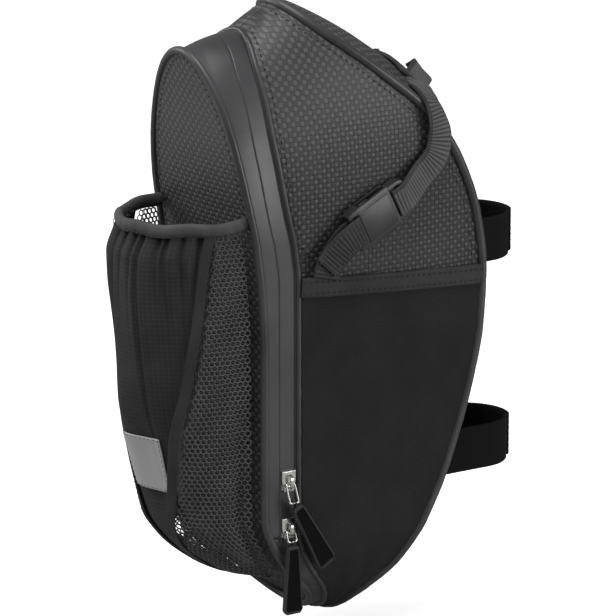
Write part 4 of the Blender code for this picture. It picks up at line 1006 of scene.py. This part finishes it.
def fuzzy_section(share, gone):
    wide, high = flat_section(HOOK_WIDE, HOOK_THICK)(share, gone)
    nap = 0.07 * np.sin(gone * 3.9 + share * 170) + 0.06 * np.sin(gone * 6.3 - share * 97)
    return wide, high + nap * (np.abs(wide) < HOOK_WIDE / 2 - 1.6)


for word, height in (("upper", 173.0), ("lower", 70.0)):
    rows = np.linspace(height - HOOK_WIDE / 2, height + HOOK_WIDE / 2, 7)
    inner = POST_RADIUS + HOOK_THICK / 2
    clear = float(front_point(inner - ROOT_FLARE, rows)[:, 1].max()) + 1.6
    for side, radius, kind, body in ((1.0, inner, "base", "body"),
                                     (-1.0, inner + HOOK_THICK + 0.35, "flap", word + "_flap")):
        turn = np.radians(np.linspace(0, LAP_ANGLE, 60))
        ring = np.stack([side * radius * np.cos(turn), POST_CENTRE + radius * np.sin(turn),
                         np.full(60, height)], axis=-1)
        tail = np.linspace(clear, POST_CENTRE, 24)[:-1]
        line = np.concatenate([np.stack([np.full(23, side * radius), tail, np.full(23, height)], -1), ring])
        strap = swept(f"hook_strap_{word}_{kind}_tape", line, (0, 0, -side), fuzzy_section, 60, 0.9)
        belongs(strap, hook_loop, "hook_and_loop", body, f"hook_strap_{word}_{kind}")

        def root_spot(across, along):
            h = height + (along - 0.5) * (HOOK_WIDE + 1.0)
            turn = np.pi * across
            foot = front_point(side * (radius + ROOT_FLARE * np.cos(turn)), h, 0.3)[..., 1]
            rise = (clear + 0.9 - foot) * np.sin(turn) ** 0.55
            return np.stack([side * (radius + ROOT_FLARE * np.cos(turn) ** 3), foot + rise, h], axis=-1)

        root = thicken(laid_sheet(f"hook_root_{word}_{kind}", 24, 24, root_spot,
                                  inside=(side * radius, clear - 3, height)), 0.5)
        belongs(root, binding_tape, "binding_tape", "body",
                f"hook_strap_root_{word}_{'right' if side > 0 else 'left'}")
        for share in (0.22, 0.78):
            line = root_spot(np.full(30, share), np.linspace(0.06, 0.94, 30))
            stitches(f"hook_root_{word}_{kind}_stitches_{int(share * 100)}", line,
                     (side * (0.5 - share), 1.0, 0), "body", grey_thread, "binding_tape", 1.5, 0.7, 0.4)

# Saddle rail straps: ribbed nylon webbing. A short tail folds round the socket's bar above the side pocket,
# and a long one runs from the plug over the roof's edge, loops up for the saddle rail and ends on a patch.
WEB_WIDE, WEB_THICK, RIB_PITCH = 14.5, 1.5, 1.85
ARCH_EDGE, ARCH_ROOT, ARCH_SLOPE = 0.793 * BODY_HEIGHT, 0.823 * BODY_HEIGHT, np.array([0.0, 0.68, 0.73])
HALF_BUCKLE, BUCKLE_TILT = 16.925, math.radians(27.0)
ALONG = np.array([0.0, math.cos(BUCKLE_TILT), math.sin(BUCKLE_TILT)])
ACROSS = np.array([0.0, -math.sin(BUCKLE_TILT), math.cos(BUCKLE_TILT)])
BUCKLE_CENTRE = np.array([46.049, 0.48 * BODY_DEPTH, 0.674 * BODY_HEIGHT])


def smooth_path(points, steps=6):
    """A smooth line through the points."""
    p = np.array(points, float)
    ends = np.concatenate([[2 * p[0] - p[1]], p, [2 * p[-1] - p[-2]]])
    t = np.linspace(0, 1, steps, endpoint=False)[:, None]
    parts = [0.5 * (2 * b + (c - a) * t + (2 * a - 5 * b + 4 * c - d) * t ** 2
                    + (3 * b - a - 3 * c + d) * t ** 3)
             for a, b, c, d in zip(ends, ends[1:], ends[2:], ends[3:])]
    return np.concatenate([*parts, p[-1:]])


make = Finish("webbing")
across, along = make.cloth_place()
ribs = (along / RIB_PITCH).fraction()
ribs = 1.0 - ribs * (1.0 - ribs) * 4.0
warp = across.wave(1.1)
fuzz, shade = make.noise(2400, 3.0), make.noise(50, 2.0)
border = ((across - WEB_WIDE / 2) * (across - WEB_WIDE / 2)).between(34.0, 40.0)
nylon = make.end(make.mix((1.0 - ribs) * (1.0 - border) * 0.55 + warp * 0.08 + fuzz * 0.2 + shade * 0.15,
                          (0.005, 0.005, 0.005), (0.15, 0.15, 0.155)),
                 fuzz * 0.2 + 0.45, warp * 0.3 + fuzz * 0.5, 0.1, 0.7, Specular_IOR_Level=0.3)
rib = flat_section(WEB_WIDE, WEB_THICK, 0.45, RIB_PITCH)
edge = np.array([43.85, float(front_seam.depth(ARCH_EDGE)) - 3.0, ARCH_EDGE - 3.0])
root_up = outward_of(front_seam, np.array(ARCH_ROOT), 1.0)
root_wide = np.array([0.0, -root_up[2], root_up[1]])
web_root = front_point(12.0, ARCH_ROOT, 3.4)
head = BUCKLE_CENTRE + ALONG * (HALF_BUCKLE - 4.0)
tail = BUCKLE_CENTRE - ALONG * (HALF_BUCKLE - 3.0)
foot = np.array([44.6, 31.5, POCKET_TOP_REAR - 1.0])
for side, word in SIDES:
    flip = np.array([side, 1.0, 1.0])
    under = smooth_path([foot, foot + (0.6, 2.0, 7.0), tail + (0, -8.0, -5.0), tail - ALONG * 3.0, tail])
    wides = smooth_path([(0.0, -0.79, 0.61), (0.0, -0.73, 0.68), (0.0, -0.54, 0.84), ACROSS, ACROSS])
    short = swept("rail_strap_short_" + word, under * flip, wides * (flip * -side), rib, 40, 0.3)
    belongs(short, nylon, "webbing", "body", "rail_strap_lower_" + word)
    lap = smooth_path([tail + ALONG * 2.2 + (1.6, 0, 0), tail + ALONG * 1.4 + (3.7, 0, 0),
                       tail - ALONG * 2.5 + (3.9, 0, 0), tail + (3.2, -8.0, -5.0), foot + (2.6, 3.0, 10.0),
                       foot + (2.3, -1.0, 5.5)])
    lap_wides = smooth_path([ACROSS, ACROSS, ACROSS, (0.0, -0.54, 0.84), (0.0, -0.68, 0.73),
                             (0.0, -0.76, 0.65)])
    fold = swept("rail_strap_fold_" + word, lap * flip, lap_wides * (flip * side), rib, 40, 0.3)
    belongs(fold, nylon, "webbing", "body", "rail_strap_lower_" + word)
    for row in (-5.2, 5.2):
        stitches(f"fold_stitches_{word}_{'low' if row < 0 else 'high'}",
                 (lap + unit(lap_wides) * row + (1.0, 0, 0))[10:] * flip, (side, 0, 0), "body",
                 grey_thread, "webbing", 2.2, 0.7, 0.5, sink=0.0)

    # The long strap lies on the side panel up to this bend, where it starts to rise to the loop.
    bend = np.array([44.4, 0.735 * BODY_DEPTH, 0.741 * BODY_HEIGHT])
    long_line = smooth_path([head - ALONG * 3.8 + (3.5, 0, 0), head + (3.8, 0, 0),
                             head + ALONG * 4.0 + (3.3, 0, 0), bend - (-0.8, 6.5, 5.0), bend,
                             bend + (0.0, 3.4, 5.0), bend + (-0.5, 5.0, 12.0), bend + (-1.6, 4.6, 20.0),
                             bend + (-5.2, 3.2, 28.5), bend + (-12.5, 3.4, 33.0), bend + (-20.0, 5.0, 34.8),
                             web_root + (4.0, 0, 0) + root_up * 3.2, web_root])
    long_wides = smooth_path([ACROSS, ACROSS, ACROSS, (0, -0.58, 0.81), (0, -0.64, 0.77), (0, -0.78, 0.62),
                              (0.05, -0.93, 0.36), (0.25, -0.93, 0.25), (0.42, -0.88, 0.2),
                              (0.45, -0.88, 0.15), (0.3, -0.94, 0.2), root_wide, root_wide])
    long_strap = swept("rail_strap_long_" + word, long_line * flip, long_wides * (flip * side), rib, 40, 0.3)
    belongs(long_strap, nylon, "webbing", "body", "rail_strap_slack_" + word, "rail_strap_arch_" + word,
            blend=(word + "_plug", (edge - ARCH_SLOPE * 2) * flip, (head + ALONG * 8) * flip))

ANCHOR_WIDE, ANCHOR_TALL = 48.0, 18.0


def anchor_spot(across, along):
    x = (0.5 - across) * ANCHOR_WIDE
    return front_point(x, ARCH_ROOT + (along - 0.5) * ANCHOR_TALL, 2.6)


anchor = thicken(laid_sheet("rail_anchor_tape", 60, 24, anchor_spot), 2.0)
belongs(anchor, binding_tape, "binding_tape", "body", "rail_anchor_patch")
span = np.linspace(0.03, 0.97, 60)
for row, (a, b) in {"low": (span, 0.1), "high": (span, 0.9), "right": (0.03, span), "left": (0.97, span),
                    "cross_up": (span, span), "cross_down": (span, 1 - span)}.items():
    line = anchor_spot(np.broadcast_to(a, 60).astype(float), np.broadcast_to(b, 60).astype(float))
    stitches("anchor_stitches_" + row, line, root_up, "body", grey_thread, "binding_tape", 2.0, 0.8, 0.5,
             sink=0.0)

# Side release buckles: injection moulded acetal. The socket's two open sides show the plug's prongs, and
# the strap runs through a slot behind a bar at each end.
BUCKLE_WIDE, BUCKLE_THICK = 21.0, 6.4
SOCKET_LONG, WINDOW_FAR, WINDOW_NEAR = 25.0, 17.0, 9.5
PRONG_LONG, PRONG_SPREAD = 15.0, 5.75
SLOT_HALF, THROUGH = 7.75, 9.0
SPLIT = SOCKET_LONG - HALF_BUCKLE
make = Finish("buckle_plastic")
grain, shade = make.noise(1700, 4.0), make.noise(80, 2.0).between(0.3, 0.7)
acetal = make.end(make.mix(grain * 0.5 + shade * 0.5, (0.018, 0.018, 0.018), (0.034, 0.034, 0.035)),
                  grain * 0.12 + shade * 0.06 + 0.25, grain, 0.05, 0.5, IOR=1.48)


def moulded(name, low, high, bevel, cuts=(), shape=None, segments=3):
    """A block between two corners, rounded by bevel, with cuts through it and its points moved by shape."""
    piece = fresh(bpy.ops.mesh.primitive_cube_add, name, size=1.0)
    if shape is not None:
        on_whole(piece, bpy.ops.mesh.subdivide, number_cuts=11)
    low, high = np.array(low, float), np.array(high, float)
    points = points_of(piece) * (high - low) + (high + low) / 2
    piece.data.vertices.foreach_set("co", (points if shape is None else shape(points)).ravel())
    for corners in cuts:
        cutter = fresh(bpy.ops.mesh.primitive_cube_add, "cutter", size=1.0)
        low, high = np.array(corners, float)
        cutter.data.vertices.foreach_set("co", (points_of(cutter) * (high - low) + (high + low) / 2).ravel())
        apply_step(piece, "BOOLEAN", operation="DIFFERENCE", solver="EXACT", object=cutter)
        bpy.data.objects.remove(cutter, do_unlink=True)
    return apply_step(piece, "BEVEL", width=bevel, segments=segments, limit_method="ANGLE",
                      angle_limit=math.radians(40), harden_normals=False)


def joined(pieces, name):
    """Several moulded bodies as one mesh."""
    bpy.ops.object.select_all(action="DESELECT")
    for piece in pieces:
        piece.select_set(True)
    bpy.context.view_layer.objects.active = pieces[0]
    bpy.ops.object.join()
    pieces[0].name = pieces[0].data.name = name
    return pieces[0]


def placed(piece, centre, axes, finish, slot, body, *nodes):
    """Move a piece from its own millimetres to its place, along three axes given as rows."""
    axes = np.array(axes, float)
    piece.data.vertices.foreach_set("co", on_frame(points_of(piece) @ axes + centre).ravel())
    piece.data.update()
    alone(piece)
    if np.linalg.det(axes) < 0:
        on_whole(piece, bpy.ops.mesh.flip_normals)
    bpy.ops.object.shade_smooth_by_angle(angle=math.radians(35))
    return belongs(piece, finish, slot, body, *nodes)


def socket_shape(p):
    """The socket narrows to its strap bar, and its broad faces are slightly crowned."""
    back = np.clip((-HALF_BUCKLE + 7.0 - p[:, 0]) / 7.0, 0, 1)
    p[:, 1] *= 1 - 0.1 * back ** 1.5
    crown = 0.35 * (1 - (p[:, 1] / 10.5) ** 2) * np.clip((p[:, 0] + HALF_BUCKLE) / 6, 0, 1)
    p[:, 2] += np.sign(p[:, 2]) * crown * (np.abs(p[:, 2]) > 3.0) - np.sign(p[:, 2]) * back * 0.5
    return p


def plug_shape(p):
    p[:, 1] *= 1 - 0.12 * np.clip((p[:, 0] - SPLIT - 5.0) / 4.0, 0, 1) ** 2
    return p


def prong_shape(p):
    """The arm bends out towards its tip, which swells into the catch."""
    out = np.clip(-p[:, 0] / PRONG_LONG, 0, 1)
    p[:, 1] += 0.5 * out ** 2
    p[:, 1] *= 1 - 0.25 * np.clip((out - 0.8) / 0.2, 0, 1)
    return p


for side, word in SIDES:
    flip = np.array([side, 1.0, 1.0])
    centre = BUCKLE_CENTRE * flip
    axes = np.array([ALONG, ACROSS, (side, 0.0, 0.0)])
    half, room = BUCKLE_WIDE / 2, BUCKLE_THICK / 2 - 1.4
    body = moulded("socket_shell", (-HALF_BUCKLE, -half, -BUCKLE_THICK / 2),
                   (SPLIT, half, BUCKLE_THICK / 2), 0.55, (
        ((SPLIT - 18.1, 2.2 - half, -room), (SPLIT + 2, half - 2.2, room)),
        ((SPLIT - WINDOW_FAR, -half - 2, -room), (SPLIT - WINDOW_NEAR, half + 2, room)),
        ((SPLIT - WINDOW_FAR, -half - 2, 0.3 - room), (SPLIT + 2, half + 2, room - 0.3)),
        ((2.3 - HALF_BUCKLE, -SLOT_HALF, -THROUGH), (5.5 - HALF_BUCKLE, SLOT_HALF, THROUGH))), socket_shape)
    plate = moulded("socket_plate", (SPLIT - 19.5, -half + 2.6, BUCKLE_THICK / 2 - 0.2),
                    (SPLIT - 1.2, half - 2.6, BUCKLE_THICK / 2 + 0.55), 0.4)
    placed(joined([body, plate], "buckle_socket_shell_" + word), centre, axes, acetal, "buckle_plastic",
           "body", "buckle_socket_" + word)
    base = moulded("plug_base", (SPLIT + 0.35, 1 - half, -2.7), (SPLIT + 8.85, half - 1, 2.7), 0.5, (
        ((SPLIT + 3.75, -SLOT_HALF, -THROUGH), (SPLIT + 6.35, SLOT_HALF, THROUGH)),), plug_shape)
    guide = moulded("plug_guide", (SPLIT - 14.1, -1.4, -1.25), (SPLIT + 1.35, 1.4, 1.25), 0.35)
    teeth = [moulded("plug_tooth", (at, -7, 2.5), (at + 0.5, 7, 2.95), 0.1, segments=1)
             for at in (SPLIT + 6.5, SPLIT + 7.3, SPLIT + 8.1)]
    placed(joined([base, guide, *teeth], "buckle_plug_body_" + word), centre, axes, acetal, "buckle_plastic",
           word + "_plug", "buckle_plug_" + word)
    for up, prong_word in ((1.0, "upper"), (-1.0, "lower")):
        pin = centre + ALONG * (SPLIT - 0.8) + ACROSS * up * PRONG_SPREAD
        arm = moulded("prong_arm", (-PRONG_LONG, -1.15, -1.25), (1.0, 1.15, 1.25), 0.35, (), prong_shape)
        tab = moulded("prong_tab", (-PRONG_LONG - 0.3, 0.6, -0.95), (5.2 - PRONG_LONG, 4.55, 0.95), 0.4)
        ridges = [moulded("prong_ridge", (at, 4.3, -0.8), (at + 0.5, 4.85, 0.8), 0.12, segments=1)
                  for at in (0.8 - PRONG_LONG, 1.9 - PRONG_LONG, 3.0 - PRONG_LONG, 4.1 - PRONG_LONG)]
        placed(joined([arm, tab, *ridges], f"buckle_prong_arm_{word}_{prong_word}"), pin,
               [ALONG, ACROSS * up, (side, 0.0, 0.0)], acetal, "buckle_plastic", f"{word}_prong_{prong_word}",
               f"buckle_prong_{word}_{prong_word}")

# Zip sliders, their wire links and moulded rubber pulls: nickel plated zinc, steel wire and soft rubber with
# a plain recessed face, its rim painted grey as a highlight. The lower pull is smaller and hangs on a shorter
# link.
SLIDER_SPOT = {"upper": 78.0, "lower": 55.0}
SLIDER_DEPTH, SLIDER_FACE, SLIDER_BACK = 12.5, 40.35, 36.5
LINK_LONG, LINK_WIDE, LINK_WIRE, LINK_LEAN = 9.0, 4.8, 0.55, math.radians(22.5)
GRIP_LONG, GRIP_WIDE, GRIP_TOP, GRIP_THICK = 38.0, 10.5, 6.5, 2.6
EYELET, EYELET_WIRE, GRIP_FROM = 1.8, 0.45, 1.95
PLATE_HALF, PLATE_TALL, LUG_TALL = 3.9, 5.0, 3.6
LOWER_SHORT, LOWER_SHARE = 4.0, 0.93
make = Finish("slider_metal")
scuffs, shade = make.noise(900, 4.0), make.noise(180, 2.0)
nickel = make.end(make.mix(shade, (0.5, 0.49, 0.47), (0.72, 0.71, 0.69)), scuffs * 0.25 + 0.14, scuffs, 0.05,
                  0.4, Metallic=1.0)
make = Finish("pull_rubber_rim")
grain, shade = make.noise(2300, 3.0), make.noise(120, 2.0)
face = make.attribute("face")
# Only the recessed face keeps the rubber's black; its rim, edges and back are painted grey as a highlight.
pull_finish = make.end(make.mix(face, make.mix(shade, (0.03, 0.03, 0.031), (0.05, 0.05, 0.052)),
                                make.mix(grain, (0.001, 0.001, 0.001), (0.004, 0.004, 0.004))),
                       grain * 0.15 + face * 0.3 + 0.42, grain, 0.05, 0.6, Specular_IOR_Level=0.12)


def slider_shape(p):
    """The plate is wide at its two shoulders, narrow at its tail, and domed."""
    t = (p[:, 2] / PLATE_TALL + 1) / 2
    p[:, 1] *= 0.66 + 0.34 * np.clip(t / 0.55, 0, 1) ** 0.8
    p[:, 0] += 0.25 * (1 - (p[:, 1] / 4.0) ** 2) * (p[:, 0] > 0.6)
    return p


def bridge_shape(p):
    """An arched lug over the plate."""
    t = p[:, 2] / LUG_TALL
    p[:, 0] = np.where(p[:, 0] > 1.0, 0.9 + (p[:, 0] - 0.9) * np.sqrt(np.clip(1 - t ** 4, 0.02, 1)), p[:, 0])
    return p


def grip_outline_half(d):
    return np.interp(d, [GRIP_FROM, EYELET + 1.0, EYELET + 2.8, GRIP_LONG - 2.0, GRIP_LONG],
                     [1.2, GRIP_TOP / 2 - 0.5, GRIP_TOP / 2, GRIP_WIDE / 2, GRIP_WIDE / 2 - 1.6])


for word, height in SLIDER_SPOT.items():
    spot, behind = np.array([0.0, SLIDER_DEPTH, height]), SLIDER_BACK - SLIDER_FACE
    plate, back = [moulded("slider_plate", (near, -PLATE_HALF, -PLATE_TALL),
                           (near + 1.3, PLATE_HALF, PLATE_TALL), 0.3, (), slider_shape)
                   for near in (0.0, behind - 1.3)]
    wings = [moulded("slider_wing", (-0.35, middle - 0.55, -4.4), (0.4, middle + 0.55, 4.4), 0.2)
             for middle in (-3.0, 3.0)]
    post = moulded("slider_post", (behind - 0.5, -0.45, 1.0), (0.5, 0.45, 4.2), 0.15)
    bridge = moulded("slider_bridge", (0.9, -0.75, -LUG_TALL), (4.3, 0.75, LUG_TALL), 0.3,
                     (((1.3, -3, -2.4), (3.3, 3, 2.4)),), bridge_shape)
    placed(joined([plate, *wings, back, post, bridge], f"slider_{word}_casting"), spot + (SLIDER_FACE, 0, 0),
           np.eye(3), nickel, "slider_metal", word + "_slider", "slider_" + word)

    lean = np.array([math.sin(LINK_LEAN), 0.0, -math.cos(LINK_LEAN)])
    pivot = spot + (SLIDER_FACE + 2.3, 0.0, -1.2)
    end = pivot + lean * (LINK_LONG - (LOWER_SHORT if word == "lower" else 0.0))
    wide = LINK_WIDE / 2
    corners = [at + (0, y, 0) for at, y in (
        (pivot, 0.5 - wide), (pivot, wide - 0.5), (pivot + lean * 1.2, wide), (end - lean, wide),
        (end, wide - 0.6), (end, 0.6 - wide), (end - lean, -wide), (pivot + lean * 1.2, -wide),
        (pivot, 0.5 - wide))]
    wire = smooth_path(corners, 5)
    link = swept(f"pull_link_{word}_wire", wire, np.cross(lean, [0, 1.0, 0]), round_section(LINK_WIRE), 12,
                 0.4, closed=True)
    belongs(link, nickel, "slider_metal", word + "_link", "pull_link_" + word)

    turn, size = (math.radians(30.0), 1.0) if word == "upper" else (0.0, LOWER_SHARE)
    down = np.array([0.0, math.sin(turn), -math.cos(turn)])
    flat = np.array([0.0, math.cos(turn), math.sin(turn)])

    def pull_shape(p):
        """Outline, rounded edges and a recessed face."""
        d = np.clip(p[:, 2], GRIP_FROM, GRIP_LONG)
        half = grip_outline_half(d)
        y = p[:, 1] / (GRIP_WIDE / 2) * half
        inset = np.minimum(half - np.abs(y), np.minimum(d - EYELET - 1.5, GRIP_LONG - d))
        level = np.clip((inset - 0.85) / 0.3, 0, 1)
        out = p[:, 0] / (GRIP_THICK / 2)
        round_off = 0.35 * np.clip(1 - inset / 0.8, 0, 1) ** 2
        x = out * (GRIP_THICK / 2 - round_off - 0.45 * level * (np.abs(out) > 0.9))
        return np.stack([x, y, d], axis=-1)

    grip = fresh(bpy.ops.mesh.primitive_cube_add, "grip", size=1.0)
    on_whole(grip, bpy.ops.mesh.subdivide, number_cuts=40)
    cube = points_of(grip)
    shaped = pull_shape(np.stack([cube[:, 0] * GRIP_THICK, cube[:, 1] * GRIP_WIDE,
                                  (cube[:, 2] + 0.5) * (GRIP_LONG - EYELET) + GRIP_FROM], axis=-1))
    grip.data.vertices.foreach_set("co", shaped.ravel())
    half = grip_outline_half(shaped[:, 2])
    ends = np.minimum(shaped[:, 2] - EYELET - 1.5, GRIP_LONG - shaped[:, 2])
    inset = np.minimum(half - np.abs(shaped[:, 1]), ends)
    on_face = np.clip((inset - 0.75) / 0.3, 0, 1) * (cube[:, 0] > 0.45)
    grip.data.attributes.new("face", "FLOAT", "POINT").data.foreach_set("value", on_face.astype(np.float32))
    ring = fresh(bpy.ops.mesh.primitive_torus_add, "eyelet", major_radius=EYELET, minor_radius=EYELET_WIRE,
                 major_segments=28, minor_segments=10)
    ring.data.vertices.foreach_set("co", points_of(ring)[:, [0, 2, 1]].ravel())
    on_whole(ring, bpy.ops.mesh.flip_normals)
    placed(joined([grip, ring], f"pull_grip_{word}_rubber"), end, [(1.0, 0, 0), flat, down * size],
           pull_finish, "pull_rubber", word + "_grip", "pull_grip_" + word)

# Floor, backdrop, lamps and camera: a plain pale studio, seen from behind the bag's right side.
FLOOR_WIDE, FLOOR_HEIGHT, LAMPS_AIM = 6.0, -0.1475, -0.06
floor = fresh(bpy.ops.mesh.primitive_plane_add, "studio_floor", size=FLOOR_WIDE,
              location=(0, 0, FLOOR_HEIGHT))
pale = Finish("studio_pale")


def seen_or_lit(tree, seen, lit):
    """One grey for the camera and another for the light that falls on the bag."""
    made = tree.nodes.new("ShaderNodeMix")
    made.data_type = "RGBA"
    tree.links.new(tree.nodes.new("ShaderNodeLightPath").outputs["Is Camera Ray"], made.inputs[0])
    made.inputs[6].default_value, made.inputs[7].default_value = (lit, lit, lit, 1), (seen, seen, seen, 1)
    return made.outputs[2]


pale.tree.links.new(seen_or_lit(pale.tree, 0.9, 0.4), pale.shader.inputs["Base Color"])
pale.tree.links.new(seen_or_lit(pale.tree, 0.75, 0.0), pale.shader.inputs["Emission Color"])
pale.shader.inputs["Emission Strength"].default_value = 1.0
pale.shader.inputs["Roughness"].default_value = 0.9
floor.data.materials.append(pale.material)

world = bpy.data.worlds.new("studio_air")
bpy.context.scene.world = world
world.use_nodes = True
air = world.node_tree
air.links.new(seen_or_lit(air, 1.0, 0.2), air.nodes["Background"].inputs["Color"])
air.nodes["Background"].inputs["Strength"].default_value = 1.0


def aimed(made, name, way):
    made.name = name
    made.rotation_mode = "QUATERNION"
    made.rotation_quaternion = Vector(way).to_track_quat("-Z", "Y")
    return made


def lamp(name, place, size, watts):
    bpy.ops.object.light_add(type="AREA", location=place)
    made = aimed(bpy.context.object, name, (-place[0], LAMPS_AIM - place[1], -place[2]))
    made.data.size = size
    made.data.energy = watts


lamp("lamp_over", (0.2, -0.5, 1.2), 0.9, 14)
lamp("lamp_left", (-0.9, -0.9, 0.5), 0.8, 8)
lamp("lamp_right", (1.3, 0.75, 0.15), 0.9, 12)

AZIMUTH, ELEVATION, AWAY = math.radians(55.0), math.radians(14.0), 2.6
AIM = np.array([-0.003, -0.0773, 0.0058])
PICTURE_WIDE, PER_MILLIMETRE, SENSOR = 616, 2.094, 36.0
back = np.array([math.sin(AZIMUTH) * math.cos(ELEVATION), -math.cos(AZIMUTH) * math.cos(ELEVATION),
                 math.sin(ELEVATION)])
bpy.ops.object.camera_add(location=tuple(AIM + back * AWAY))
camera = aimed(bpy.context.object, "camera", -back)
camera.data.sensor_width = SENSOR
camera.data.lens = SENSOR * PER_MILLIMETRE * AWAY * 1000 / PICTURE_WIDE
camera.data.clip_end = 50.0
bpy.context.scene.camera = camera
bpy.context.scene.view_settings.view_transform = "Standard"
